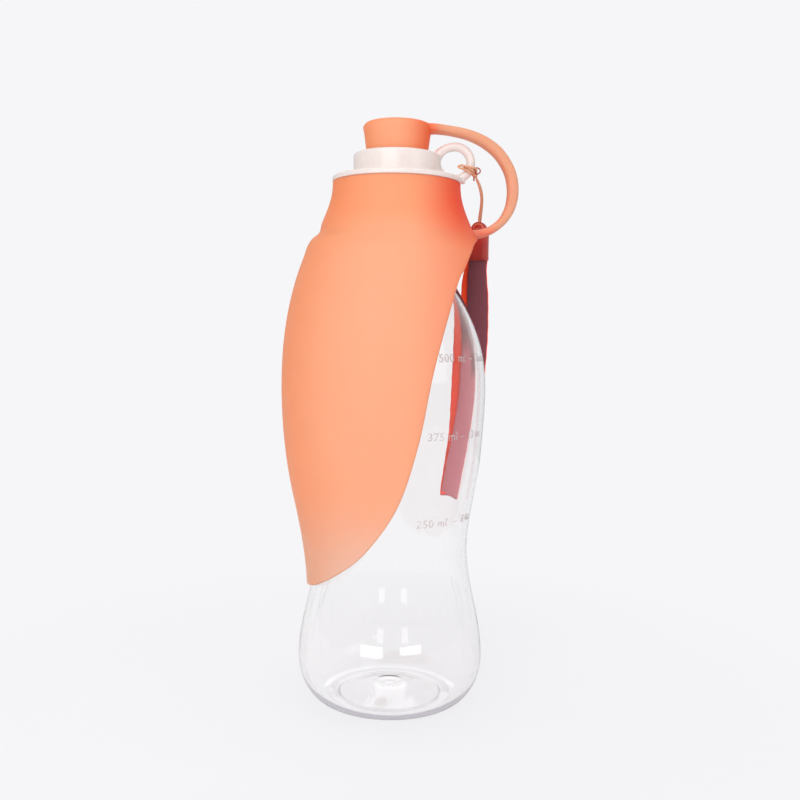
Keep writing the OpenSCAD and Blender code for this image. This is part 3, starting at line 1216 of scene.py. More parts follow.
@dataclass
class ClearBottle:
    """Clear waisted bottle with a screw neck, a foot ring and raised fill marks."""

    base_r: float = 38.6
    base_h: float = 19.0
    foot_r: float = 25.5
    foot_in: float = 1.0
    punt_r: float = 21.5
    punt_h: float = 4.5
    punt_edge: Flat = (0.7, 0.02)
    gate_depth: float = 0.55
    gate_r: Range = (7.0, 1.5)
    neck_r: float = 20.6
    neck_h: float = 182.7
    rim_h: float = 213.7
    lip_out: float = 0.6
    lip_in: float = 0.4
    wall: float = 1.8
    screw: ThreadForm = ThreadForm(start=210.0, turns=2.6, depth=1.1, run_out=0.12, crest=0.45,
                                   root=1.15)
    screw_from: float = 4.0
    letter_h: float = 3.3
    letter_size: float = 1.38
    letter_space: float = 1.12
    letter_weight: float = 0.02
    letter_relief: float = 0.28
    letter_lift: float = 0.36
    stations: list[Station] = field(default_factory=lambda: [
        (19, 38.6, 0), (65, 31.7, 0), (104, 36.7, 0.07), (131, 38.1, 0), (172.5, 25.6, -0.62),
        (182.7, 20.6, 0)])
    marks: list[tuple[str, float, float]] = field(default_factory=lambda: [
        ("500 ml – 17 oz", 142.3, 52.0), ("375 ml – 13 oz", 112.0, 45.0),
        ("250 ml  –  8 oz", 77.4, 45.0)])

    def radius(self, z: float) -> float:
        """Outer radius at a height above the foot's corner."""
        return along(self.stations, z)

    def recess(self) -> list[Flat]:
        """Underside of the foot: a shallow dome with the gate's dimple.

        Returns:
            Points of radius and height, from the middle out.
        """
        points = []
        steps = 40
        for k in range(steps + 1):
            share = k / steps
            r = self.punt_r * share
            rise = self.punt_h * ((1 + math.cos(math.pi * share)) / 4 + (1 - share ** 2) / 2)
            points.append((r, rise - self.gate_depth * ease(*self.gate_r, r)))
        return points

    def wall_profile(self) -> tuple[list[Flat], int]:
        """Section of the wall.

        Returns:
            Its points, and how many of them lie outside.
        """
        w = self.wall
        heel_r = self.base_r - self.foot_r
        outside = arc((self.foot_r, self.base_h), heel_r, self.base_h, -90, 0, 28)
        outside += outline(self.stations, 26)[1:]
        steps = 96
        neck_l = self.rim_h - self.lip_out - self.neck_h
        outside += [(self.neck_r, self.neck_h + neck_l * k / steps) for k in range(1, steps + 1)]
        outside += rounded(self.neck_r, self.rim_h, (-1, -1), self.lip_out, 20, 90, 4)
        inside = rounded(self.neck_r - w, self.rim_h, (1, -1), self.lip_in, 90, 180, 3)
        inside += [(r - w, z) for r, z in reversed(outline(self.stations, 22))]
        inside += arc((self.foot_r, self.base_h), heel_r - w, self.base_h - w, 0, -90, 24)[1:]
        under = self.recess()
        inside += [(r, z + w) for r, z in reversed(under)]
        under += [(self.punt_r + self.punt_edge[0], self.punt_edge[1]),
                  (self.foot_r - self.foot_in, 0.0)]
        return outside + inside + under, len(outside)

    def make_shell(self, finish: Finish) -> Piece:
        """Makes the bottle with its neck thread.

        Args:
            finish: The clear plastic.

        Returns:
            The bottle.
        """
        profile, outer = self.wall_profile()

        def swell(i: int, angle: float) -> float:
            """Thread on the outside of the neck."""
            on_neck = i < outer and profile[i][1] >= self.neck_h + self.screw_from
            return self.screw.height(profile[i][1], angle) if on_neck else 0.0

        shell = turned("bottle_shell", profile, finish, sides=176, swell=swell, crease=46)
        return settle(shell, Body.BOTTLE, Slot.CLEAR, "bottle")

    def letters(self, words: str) -> tuple[np.ndarray, list[list[int]]]:
        """Flat raised letters of one mark.

        Args:
            words: What the mark says.

        Returns:
            Points across, up and out, and the points of each face.
        """
        curve = bpy.data.curves.new("fill_mark", "FONT")
        curve.body = words
        curve.size = self.letter_h * self.letter_size
        curve.space_character = self.letter_space
        curve.align_x = "CENTER"
        curve.align_y = "BOTTOM"
        curve.extrude = self.letter_relief / 2
        curve.offset = self.letter_weight
        curve.resolution_u = 4
        source = bpy.data.objects.new("fill_mark", curve)
        bpy.context.scene.collection.objects.link(source)
        bpy.context.view_layer.update()
        depsgraph = bpy.context.evaluated_depsgraph_get()
        flat = bpy.data.meshes.new_from_object(source.evaluated_get(depsgraph))
        points = np.array([v.co for v in flat.vertices])
        faces = [list(f.vertices) for f in flat.polygons]
        bpy.data.objects.remove(source)
        return points, faces

    def make_marks(self, finish: Finish) -> Piece:
        """Makes the raised fill marks, wrapped onto the wall.

        Args:
            finish: The frosted plastic of the letters.

        Returns:
            The marks in one piece.
        """
        rows = []
        for words, height, azimuth in self.marks:
            points, faces = self.letters(words)
            middle = math.radians(azimuth - 90)
            placed = []
            for x, y, depth in points:
                z = height + y
                r = self.radius(z) + depth + self.letter_relief * self.letter_lift
                a = middle + x / self.radius(height)
                placed.append((r * math.cos(a), r * math.sin(a), z))
            rows.append(make_piece("fill_mark_row", np.array(placed), faces, [finish], crease=30))
        return settle(joined("fill_marks", rows), Body.BOTTLE, Slot.CLEAR)


# ---- Cap ----

@dataclass
class ScrewCap:
    """White screw cap with its flange, spout ring and carrying ring."""

    flange_z: float = 215.2
    flange_r: float = 26.4
    flange_t: float = 2.3
    spout_r: float = 17.8
    spout_h: float = 9.3
    spout_straight: Flat = (2.6, 1.2)
    bore_r: float = 12.5
    bore_taper: float = 1.1
    skirt_in: float = 22.2
    skirt_out: float = 24.2
    skirt_l: float = 26.0
    bead_z: float = 206.1
    bead_h: float = 0.9
    corner: float = 1.2
    fillet: float = 1.0
    edge: float = 0.5
    skirt_edge: float = 0.4
    fine_edge: float = 0.3
    crown: Flat = (3.2, 2.4)
    crown_h: float = 0.05
    screw: ThreadForm = ThreadForm(start=208.5, turns=2.4, depth=0.9, run_out=0.1, crest=0.3,
                                   root=0.8)
    ring_r: float = 6.5
    ring_in: float = 1.2
    bar_r: float = 1.8
    ring_centre: Place = (23.7, 0.0, 223.8)
    root_swell: float = 0.12
    root_x: Range = (1.6, -0.6)
    foot_route: tuple[Flat, ...] = ((1.2, -6.0), (2.6, -6.6), (3.6, -7.4))
    foot_end: Flat = (0.1, 0.6)
    foot_sizes: tuple[float, ...] = (1.75, 1.6, 1.25, 0.6)
    foot_section: Flat = (2.2, 1.7)

    def make_body(self, finish: Finish) -> Piece:
        """Makes the turned body with the inside thread.

        Args:
            finish: The white plastic.

        Returns:
            The body.
        """
        low = self.flange_z - self.skirt_l
        top = self.flange_z + self.flange_t
        spout_top = top + self.spout_h
        throat = self.bore_r - self.bore_taper
        c, fine = self.corner, self.fine_edge
        profile = rounded(self.skirt_in, low, (1, 1), fine, 180, 270, 3)
        profile += rounded(self.skirt_out, low, (-1, 1), self.skirt_edge, 270, 360, 4)
        profile += arc((self.skirt_out, self.bead_z), self.bead_h, self.bead_h, -90, 90, 10)
        profile += [(self.skirt_out, self.flange_z)]
        profile += rounded(self.flange_r, self.flange_z, (-1, 1), self.edge, 270, 360, 4)
        profile += rounded(self.flange_r, top, (-1, -1), c, 0, 90, 10)
        profile += [(self.flange_r - self.crown[0], top + self.crown_h),
                    (self.spout_r + self.crown[1], top + self.crown_h)]
        profile += rounded(self.spout_r, top, (1, 1), self.fillet, 270, 180, 8)
        profile += [(self.spout_r, top + self.spout_straight[0]),
                    (self.spout_r, spout_top - c - self.spout_straight[1])]
        profile += rounded(self.spout_r, spout_top, (-1, -1), c, 0, 90, 10)
        profile += rounded(self.bore_r, spout_top, (1, -1), self.edge, 90, 180, 5)
        profile += rounded(throat, self.flange_z, (1, 1), fine, 180, 270, 3)
        plain = len(profile) + 2
        steps = 60
        inside_l = self.skirt_l - fine
        profile += [(self.skirt_in, self.flange_z - inside_l * k / steps) for k in range(steps)]

        def swell(i: int, angle: float) -> float:
            """Thread on the inside of the skirt, which stands in."""
            return -self.screw.height(profile[i][1], angle) if i > plain else 0.0

        return turned("screw_cap_body", profile, finish, sides=168, swell=swell, crease=40)

    def make_ring(self, finish: Finish) -> Piece:
        """Makes the carrying ring, which thickens where it grows out of the spout and the flange.

        Args:
            finish: The white plastic.

        Returns:
            The ring with its foot.
        """
        cx, _, cz = self.ring_centre
        bends = [(math.cos(a), math.sin(a)) for a in np.linspace(0, 2 * math.pi, 97)]
        path = np.array([[cx + self.ring_r * c * (1.0 if c > 0 else self.ring_in), 0,
                          cz + self.ring_r * s] for c, s in bends])

        def section(i: int) -> np.ndarray:
            """Round bar, thicker at its root in the spout."""
            grow = 1.0 + self.root_swell * ease(*self.root_x, path[i][0] - self.spout_r)
            return ellipse_section(2 * self.bar_r * grow, 2 * self.bar_r * grow, 24)

        ring = swept("carrying_ring", path, section, [finish], (0, 1, 0), crease=80)
        foot = [(cx + x, 0, cz + z) for x, z in self.foot_route]
        foot.append((self.flange_r + self.foot_end[0], 0, self.flange_z + self.foot_end[1]))
        foot = smooth_curve(foot, 6)
        places = np.linspace(0, 1, len(self.foot_sizes))
        sizes = np.interp(np.linspace(0, 1, len(foot)), places, self.foot_sizes)

        def toe(i: int) -> np.ndarray:
            """Oval bar that runs out on the flange."""
            return ellipse_section(*(side * sizes[i] for side in self.foot_section), 18)

        lug = swept("ring_foot", foot, toe, [finish], (0, 1, 0), crease=80)
        return joined("carrying_ring", [ring, lug])

    def make(self, finish: Finish) -> Piece:
        """Makes the whole cap.

        Args:
            finish: The white plastic.

        Returns:
            The cap.
        """
        cap = joined("screw_cap", [self.make_body(finish), self.make_ring(finish)])
        return settle(cap, Body.HEAD, Slot.WHITE, "cap")


# ---- Sleeve, leaf, plug and strap ----

@dataclass(frozen=True)
class FoldShoulder:
    """Step where the leaf folds down from the sleeve, strongest at the leaf's middle line."""

    stations: tuple[Station, ...] = (
        (178, 0, 0), (186, 0.05, 0.08), (189.3, 0.55, 0.02), (191.6, 0.4, -0.3), (193, -0.5, -0.7),
        (194.4, -1.0, 0), (197.4, -0.25, 0.2), (201.5, 0, 0))
    full_within: float = math.radians(20)
    none_beyond: float = math.radians(62)

    def step(self, z: float, angle: float) -> float:
        """Change of the radius.

        Args:
            z: Height.
            angle: Angle from the leaf's middle line.

        Returns:
            What to add to the radius there.
        """
        if not self.stations[0][0] < z < self.stations[-1][0]:
            return 0.0
        return along(self.stations, z) * ease(self.none_beyond, self.full_within, abs(angle))


@dataclass
class SiliconeSleeve:
    """Silicone collar over the cap's skirt, ending in the upright band above the leaf."""

    shoulder: FoldShoulder
    fold_z: float = 193.0
    fold_r: float = 33.3
    fold_slope: float = -0.56
    band_h: float = 4.2
    band_r: float = 31.1
    band_slope: float = -0.46
    flange_z: float = 215.2
    collar: Station = (-4.0, 0.2, -0.12)
    wall: float = 2.0
    rim: float = 0.45
    play: float = 0.05
    skirt_out: float = 24.2
    bead_z: float = 206.1
    bead_h: float = 0.9

    def make(self, finish: Finish) -> Piece:
        """Makes the sleeve with the groove that snaps over the cap's bead.

        Args:
            finish: The silicone.

        Returns:
            The sleeve.
        """
        top_r = self.skirt_out + self.wall
        down, out, slope = self.collar
        band = (self.fold_z + self.band_h, self.band_r, self.band_slope)
        shell = outline([band, (self.flange_z + down, top_r + out, slope),
                         (self.flange_z, top_r, 0)], 22)
        outside = outline([(self.fold_z, self.fold_r, self.fold_slope), band], 14)[:-1] + shell[:-1]
        outside += rounded(top_r, self.flange_z, (-1, -1), self.rim, 0, 90, 5)
        inner_r, groove = self.skirt_out + self.play, self.bead_h + self.play
        inside = []
        for r, z in reversed(shell):
            bite = math.sqrt(max(groove ** 2 - (z - self.bead_z) ** 2, 0))
            inside.append((max(r - self.wall, inner_r + bite), z))
        inside[0] = (inner_r, self.flange_z)
        inside.append((self.band_r - self.wall, self.fold_z))
        profile = outside + inside

        def fold(i: int, angle: float) -> float:
            """Shoulder above the leaf, whose middle line faces -X."""
            return self.shoulder.step(profile[i][1], math.remainder(angle - math.pi, 2 * math.pi))

        sleeve = turned("silicone_sleeve", profile, finish, sides=168, swell=fold, crease=55)
        return settle(sleeve, Body.HEAD, Slot.SILICONE, "sleeve")


@dataclass
class SiliconeLeaf:
    """Leaf that hangs round the bottle: a shell that thins towards its tip, cut by a swept edge."""

    bottle: ClearBottle
    shoulder: FoldShoulder
    tip_h: float = 48.9
    tip_wall: float = 1.3
    tip_gap: float = 0.5
    tip_slope: float = 0.05
    waist_h: float = 85.0
    waist_gap: float = 7.2
    waist_slope: float = 0.23
    upper: tuple[Station, ...] = ((133.0, 46.5, 0), (186.0, 37.2, -0.4))
    fold_z: float = 193.0
    fold_r: float = 33.3
    fold_slope: float = -0.56
    top_wall: float = 2.0
    hinge_wall: float = 0.35
    hinge_h: float = 4.5
    rows: int = 150
    columns: int = 120
    rim_chords: int = 5
    edge: list[Flat] = field(default_factory=lambda: [
        (0, 32.6), (0.01, 33.1), (0.035, 31.2), (0.06, 29.6), (0.1, 27.1), (0.152, 23.8),
        (0.36, 15.7), (0.56, 10), (0.73, 2.2), (0.86, -10.2), (0.94, -23), (1.01, -37)])

    def __post_init__(self) -> None:
        """Works out the leaf's outline and edge from its sizes."""
        tip_r = self.bottle.radius(self.tip_h) + self.tip_gap + self.tip_wall
        waist_r = self.bottle.radius(self.waist_h) + self.waist_gap
        self.stations: list[Station] = [
            (self.tip_h, tip_r, self.tip_slope), (self.waist_h, waist_r, self.waist_slope),
            *self.upper, (self.fold_z, self.fold_r, self.fold_slope)]
        length = self.fold_z - self.tip_h
        curve = smooth_curve([(x, self.fold_z - share * length) for share, x in self.edge], 30)
        order = np.argsort(curve[:, 1])
        self.edge_z, self.edge_x = curve[order, 1], curve[order, 0]

    def radius(self, z: float) -> float:
        """Outer radius at a height."""
        return along(self.stations, min(max(z, self.tip_h), self.fold_z))

    def wall(self, z: float) -> float:
        """Thickness at a height, which drops to a thin hinge at the fold."""
        even = float(np.interp(z, (self.tip_h, self.fold_z), (self.tip_wall, self.top_wall)))
        return even - (even - self.hinge_wall) * ease(self.fold_z - self.hinge_h, self.fold_z, z)

    def half_angle(self, z: float) -> float:
        """Angle from the leaf's middle line to its edge at a height."""
        x = float(np.interp(z, self.edge_z, self.edge_x))
        return math.acos(min(max(-x / self.radius(z), -1.0), 1.0))

    def spot(self, angle: float, z: float, depth: float) -> np.ndarray:
        """Point of the leaf.

        Args:
            angle: Angle from the middle line, which faces -X.
            z: Height.
            depth: Distance inside the outer face.

        Returns:
            The point.
        """
        r = self.radius(z) + self.shoulder.step(z, angle) - depth
        return np.array([-r * math.cos(angle), r * math.sin(angle), z])

    def inset_edge(self) -> tuple[np.ndarray, np.ndarray]:
        """Edge drawn in by half the wall, on which the round rim is set.

        Returns:
            Heights and half angles, each from the tip up.
        """
        z = self.tip_h + (self.fold_z - self.tip_h) * np.linspace(0, 1, 900) ** 1.5
        angle = np.array([self.half_angle(v) for v in z])
        r = np.array([self.radius(v) for v in z])
        slant = np.arctan2(1.0, np.gradient(angle * r, z))
        half = np.array([self.wall(v) / 2 for v in z])
        return z + half * np.cos(slant), angle - half * np.sin(slant) / r

    def make_faces(self, heights: np.ndarray,
                   halves: np.ndarray) -> tuple[list[np.ndarray], list[list[int]]]:
        """Makes the outer and the inner face, joined along the fold.

        Args:
            heights: Height of each row.
            halves: Half angle of each row.

        Returns:
            The points, outer ones first, and the points of each face.
        """
        columns, width = self.columns, self.columns + 1
        points, faces = [], []
        for depth in (0, 1):
            for z, half in zip(heights, halves):
                for j in range(width):
                    share = 2 * j / columns - 1
                    points.append(self.spot(half * share, z, depth * self.wall(z)))
        inner = len(points) // 2
        for i in range(self.rows - 1):
            for j in range(columns):
                a = i * width + j
                b = inner + a
                faces.append([a, a + 1, a + width + 1, a + width])
                faces.append([b, b + width, b + width + 1, b + 1])
        top = (self.rows - 1) * width
        faces += [[a, a + 1, inner + a + 1, inner + a] for a in range(top, top + columns)]
        return points, faces

    def free_edge(self, heights: np.ndarray,
                  halves: np.ndarray) -> list[tuple[int, float, float]]:
        """Edge from the fold down one side, along the tip and up the other side.

        Args:
            heights: Height of each row.
            halves: Half angle of each row.

        Returns:
            The outer point, the angle and the height of each place on it.
        """
        columns, width = self.columns, self.columns + 1
        down = [(i * width, -halves[i], heights[i]) for i in range(self.rows - 1, 0, -1)]
        tip = [(j, halves[0] * (2 * j / columns - 1), heights[0]) for j in range(width)]
        up = [(i * width + columns, halves[i], heights[i]) for i in range(1, self.rows)]
        return down + tip + up

    def outward(self, angle: float, z: float) -> np.ndarray:
        """Rough direction out of the leaf across its edge.

        Args:
            angle: Angle of a place on the edge.
            z: Its height.

        Returns:
            The direction, which is down at the tip.
        """
        side = math.copysign(1.0, angle)
        round_way = np.array([math.sin(angle), math.cos(angle), 0.0]) * side
        flat = 1.0 if z < self.tip_h + 1.0 else 0.0
        return round_way * (1 - 0.9 * flat) + np.array([0.0, 0.0, -0.4 - flat])

    def round_rim(self, points: list[np.ndarray], faces: list[list[int]],
                  edge: list[tuple[int, float, float]]) -> None:
        """Adds the round rim between the outer and the inner face.

        Args:
            points: The points so far, outer ones first.
            faces: The points of each face so far.
            edge: The free edge.
        """
        inner, chords = len(points) // 2, self.rim_chords
        line = [self.spot(angle, z, 0) for _, angle, z in edge]
        loops = []
        for k, (index, angle, z) in enumerate(edge):
            thick = line[k] - self.spot(angle, z, self.wall(z))
            middle = line[k] - thick / 2
            out = np.cross(line[min(k + 1, len(edge) - 1)] - line[max(k - 1, 0)], thick)
            out /= np.linalg.norm(out)
            if out.dot(self.outward(angle, z)) < 0:
                out = -out
            reach = min(self.wall(z), np.linalg.norm(thick)) / 2
            loop = [index]
            for m in range(1, chords):
                t = math.pi * m / chords
                loop.append(len(points))
                points.append(middle + thick / 2 * math.cos(t) + out * reach * math.sin(t))
            loops.append(loop + [inner + index])
        for a, b in zip(loops, loops[1:]):
            faces += [[a[m], a[m + 1], b[m + 1], b[m]] for m in range(chords)]

    def make(self, finish: Finish) -> Piece:
        """Makes the leaf with a round rim.

        Args:
            finish: The silicone.

        Returns:
            The leaf.
        """
        low = self.tip_h + self.wall(self.tip_h) / 2
        shares = (1 - np.cos(np.linspace(0, math.pi, self.rows))) / 2
        heights = low + (self.fold_z - low) * shares
        halves = np.interp(heights, *self.inset_edge())
        points, faces = self.make_faces(heights, halves)
        self.round_rim(points, faces, self.free_edge(heights, halves))
        leaf = make_piece("silicone_leaf", np.array(points), faces, [finish], crease=75)
        line = (self.fold_z - 0.01) * MM
        for edge in leaf.data.edges:
            if all(leaf.data.vertices[v].co.z > line for v in edge.vertices):
                edge.use_edge_sharp = True
        return settle(leaf, Body.TROUGH, Slot.SILICONE, "leaf")


@dataclass
class StopperSet:
    """Pull-out plug and the strap that ties it to the sleeve."""

    crown_r: float = 14.1
    crown_top: float = 239.2
    crown_round: float = 2.2
    spout_top: float = 226.8
    bung_l: float = 13.4
    bung_wall: float = 3.0
    bore_r: float = 12.5
    bore_l: float = 11.6
    bore_taper: float = 1.1
    play: float = 0.05
    rib_h: float = 0.35
    rib_in: float = 0.3
    rib_pitch: float = 3.4
    strap_w: float = 7.4
    root_swell: float = 1.0
    root_x: Range = (37.0, 29.0)
    head_swell: float = 0.5
    head_x: Range = (22.5, 12.5)
    bend_z: float = 210.0
    route: list[Place] = field(default_factory=lambda: [
        (28.6, 194.5, 4.0), (32.0, 194.75, 3.7), (35.4, 195.4, 3.4), (39.3, 197.0, 3.3),
        (43.3, 200.2, 3.55), (46.1, 204.5, 4.1), (47.5, 209.6, 4.55), (47.5, 215.3, 4.75),
        (45.9, 221.2, 4.7), (41.9, 227.4, 4.65), (36.4, 231.9, 4.45), (29.8, 234.95, 4.0),
        (23.1, 236.5, 3.7), (16.75, 237.35, 3.5), (13.4, 237.4, 3.6), (9.0, 237.2, 3.9)])

    def stem_profile(self, foot: float, foot_r: float) -> list[Flat]:
        """Outside of the stem with its seal ribs.

        Args:
            foot: Height of its lower end.
            foot_r: Radius there.

        Returns:
            Points of radius and height, from the lower end up.
        """
        stem = [(foot_r - 0.8, foot), (foot_r - 0.25, foot + 0.2), (foot_r, foot + 1)]
        steps, plain_steps = 30, 5
        for k in range(1, steps + 1):
            z = foot + 1 + (self.bung_l - 1.2) * k / steps
            r = foot_r + (self.bore_r - self.play - foot_r) * k / steps
            wave = max(0.0, math.cos((z - foot) * 2 * math.pi / self.rib_pitch))
            rib = self.rib_h * wave if k < steps - plain_steps else 0.0
            stem.append((r - self.rib_in + rib, z))
        return stem

    def make_plug(self, finish: Finish) -> Piece:
        """Makes the plug with its hollow stem and its seal ribs.

        Args:
            finish: The silicone.

        Returns:
            The plug.
        """
        foot = self.spout_top - self.bung_l
        foot_r = self.bore_r - self.bore_taper * self.bung_l / self.bore_l - self.play
        neck = [(self.bore_r + r, self.spout_top + z) for r, z in (
            (-self.play, 0.0), (0.32, 2.4), (0.66, 5.0), (1.0, 7.6))]
        top = rounded(self.crown_r, self.crown_top, (-1, -1), self.crown_round, 8, 86, 12)
        dome = [(r, self.crown_top + z) for r, z in ((9.0, 0.02), (4.5, 0.04), (0.0, 0.04))]
        hollow = foot_r - self.bung_wall
        core = [(0.0, self.spout_top - 1), (hollow - 2, self.spout_top - 1),
                (hollow - 0.6, self.spout_top - 1.6), (hollow, self.spout_top - 3),
                (hollow, foot + 0.4), (hollow + 0.3, foot)]
        profile = self.stem_profile(foot, foot_r) + neck + top + dome + core
        plug = turned("stopper_plug", profile, finish, sides=144, crease=48)
        return settle(plug, Body.STOPPER, Slot.SILICONE, "plug")

    def make_strap(self, finish: Finish) -> Piece:
        """Makes the strap, which flares into the sleeve at one end and the crown at the other.

        Args:
            finish: The silicone of the strap.

        Returns:
            The strap.
        """
        steps = 14
        path = smooth_curve([(x, 0.0, z) for x, z, _ in self.route], steps)
        thick = smooth_curve([(t, 0.0, 0.0) for _, _, t in self.route], steps)[:, 0]

        def section(i: int) -> np.ndarray:
            """Band with round edges, wider at both ends.

            Args:
                i: Number of a point of the path.

            Returns:
                Points about its middle.
            """
            x, _, z = path[i]
            root = ease(*self.root_x, x) if z < self.bend_z else 0.0
            head = ease(*self.head_x, x) if z > self.bend_z else 0.0
            width = self.strap_w * (1 + self.root_swell * root + self.head_swell * head)
            return band_section(width, float(thick[i]), 2.9, 36)

        strap = swept("stopper_strap", path, section, [finish], (0, 1, 0), crease=80)
        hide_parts("plug_strap")
        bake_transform(strap)
        return strap


# ---- Lanyard ----

@dataclass
class WristLanyard:
    """Wrist loop: a thin cord hitched to the carrying ring, a crimp sleeve and a woven ribbon."""

    cap: ScrewCap
    cord_d: float = 0.9
    cord_tips: tuple[float, ...] = (0.62, 0.9)
    knot: Place = (31.9, 0.6, 219.1)
    wrap_play: float = 0.05
    wrap_at: Flat = (-21, -29)
    wrap_turn: Flat = (-150, -570)
    small_loop: Place = (32.9, -1.2, 220.6)
    small_loop_r: float = 1.2
    ferrule_at: Place = (35.7, 17.8, 185.6)
    ferrule_turn: float = -20.0
    ferrule_w: float = 8.4
    ferrule_t: float = 5.0
    ferrule_h: float = 13.6
    ferrule_power: float = 3.6
    dome_in: float = 0.9
    dome_down: float = 0.35
    dome_thin: float = 0.45
    moon_r: Flat = (2.15, 2.0)
    moon_up: float = 0.25
    moon_in: float = 0.5
    moon_bar: float = 0.5
    ribbon_w: float = 9.7
    ribbon_t: float = 0.95
    ribbon_power: float = 5.0
    ribbon_edge: float = 0.55
    ribbon_cup: Flat = (0.22, 0.055)
    ribbon_waves: Flat = (0.012, 0.9)
    ribbon_pinch: float = 0.17
    ribbon_pinch_z: Range = (168.0, 185.0)
    ribbon_turn: float = 15.0
    ribbon_lean: float = -0.28
    cord_route: list[Place] = field(default_factory=lambda: [
        (32.6, 1.1, 218), (34.3, 3.4, 214.6), (35.5, 7.4, 210.8), (35.6, 11.4, 206.9),
        (35.4, 15, 203.8), (35.5, 16.8, 200.6), (35.5, 16.9, 196), (35.8, 17.8, 194.4),
        (36.1, 18.7, 196), (36.1, 18.8, 200.6), (36.3, 17.2, 204.4), (36.3, 13.4, 207.4),
        (36, 8.8, 211.2), (34.8, 4.8, 214.9), (32.9, 2.2, 218.1)])
    ribbon_route: list[Place] = field(default_factory=lambda: [
        (35.7, 17.2, 187.4), (35.3, 17.8, 180), (35.8, 19.6, 168), (36.1, 21.8, 153),
        (35.4, 23.4, 138), (34.6, 24.8, 124), (32.1, 26.4, 108), (29.6, 28, 94), (28, 29, 84),
        (27.5, 30.2, 80.8), (27.7, 31.6, 84), (29.2, 32.2, 95), (31, 32, 109), (31.5, 31, 124),
        (31.9, 29.6, 139), (32.4, 27.2, 153), (33.4, 23.8, 169), (33.5, 21, 179),
        (36, 18.6, 187.4)])

    def strand(self, name: str, points: Sequence[Sequence[float]], finish: Finish,
               steps: int = 8, across: Optional[Sequence[float]] = None,
               size: float = 1.0) -> tuple[Piece, np.ndarray]:
        """Makes one length of the thin cord.

        Args:
            name: Its name.
            points: The points that it passes through.
            finish: The cord's material.
            steps: Chords between two points.
            across: Direction that its section stays near.
            size: Its thickness as a share of the cord's.

        Returns:
            The strand and its centreline.
        """
        path = smooth_curve(points, steps)
        widths = np.full(len(path), self.cord_d * size)
        for near, tip in enumerate(self.cord_tips):
            widths[[near, -1 - near]] *= tip

        def section(i: int) -> np.ndarray:
            """Round section, drawn in at both tips."""
            return ellipse_section(widths[i], widths[i], 12)

        return swept(name, path, section, [finish], across, crease=85), path

    def make_cord(self, finish: Finish) -> Piece:
        """Makes the two strands from the knot into the crimp sleeve and back.

        Args:
            finish: The cord's material.

        Returns:
            The cord.
        """
        cord, path = self.strand("lanyard_strands", self.cord_route, finish, 6, (1, 0.01, 0.02))
        settle(cord, Body.LANYARD, Slot.CORD, "lanyard_cord")
        return cord

    def wrap_route(self) -> list[np.ndarray]:
        """Points of the turns round the carrying ring's bar.

        Returns:
            The points.
        """
        cx, _, cz = self.cap.ring_centre
        wrap = self.cap.bar_r + self.cord_d / 2 + self.wrap_play
        steps = 32
        route = []
        for k in range(steps + 1):
            a, spin = (math.radians(first + (last - first) * k / steps)
                       for first, last in (self.wrap_at, self.wrap_turn))
            spoke = np.array([math.cos(a), 0, math.sin(a)])
            middle = np.array([cx, 0, cz]) + self.cap.ring_r * spoke
            off = math.cos(spin) * spoke + math.sin(spin) * np.array([0, -1, 0])
            route.append(middle + wrap * off)
        return route

    def make_hitch(self, finish: Finish, dark: Finish) -> Piece:
        """Makes the turns round the ring's bar, the knot, the small loop and the loose ends.

        Args:
            finish: The cord's material.
            dark: Darker material of its loose end and small loop.

        Returns:
            The hitch.
        """
        k = np.array(self.knot)
        bight = [k + (0.7, -0.6, 0.9), k + (0.4, -1.9, 2.3), (30.6, -2.5, 221.7),
                 (28.5, -2.75, 222.0), (26.5, -2.8, 222.5), (25.3, -2.7, 222.2),
                 (25.1, -2.7, 221.8), (26.2, -2.8, 221.3), (28.1, -2.75, 220.6),
                 (30.0, -2.5, 219.7), k + (-0.6, -1.3, 0.3), k + (0.3, -0.7, -0.3)]
        knot = [k + off for off in (
            (-0.7, -0.7, 0.6), (0.4, -1.0, 0.6), (0.9, -0.1, 0.2), (0.2, 0.8, 0.1),
            (-0.7, 0.3, 0.2), (-0.6, -0.7, -0.2), (0.4, -0.9, -0.3), (0.8, 0.0, -0.5),
            (0.1, 0.6, -0.6))]
        end = [k + off for off in ((-0.2, -0.5, -0.4), (-0.3, -0.9, -1.4), (-0.2, -0.9, -2.5))]
        loop = [self.small_loop + self.small_loop_r * np.array([math.cos(t), math.sin(2 * t) / 4,
                                                                math.sin(t)])
                for t in np.radians(np.arange(-200, 150, 22))]
        loop = [k + (0.0, -0.9, 0.8)] + loop + [k + (0.3, -0.9, 0.2)]
        pieces = [self.strand(name, route, material, steps, size=size)[0]
                  for name, route, material, steps, size in (
                      ("hitch_turns", self.wrap_route(), finish, 2, 1.0),
                      ("hitch_bight", bight, finish, 8, 1.0),
                      ("hitch_knot", knot, finish, 8, 1.0),
                      ("hitch_end", end, dark, 6, 0.7),
                      ("hitch_loop", loop, dark, 5, 0.6))]
        return settle(joined("cord_hitch_turns", pieces), Body.HEAD, Slot.CORD, "cord_hitch")

    def ferrule_frame(self) -> tuple[np.ndarray, np.ndarray, np.ndarray]:
        """Directions and top of the crimp sleeve.

        Returns:
            Its way across, its way out of its flat face, and the middle of its top.
        """
        turn = math.radians(self.ferrule_turn)
        side = np.array([math.cos(turn), math.sin(turn), 0])
        x, y, z = self.ferrule_at
        return (side, np.array([-side[1], side[0], 0]),
                np.array([x, y, z + self.ferrule_h - self.dome_down]))

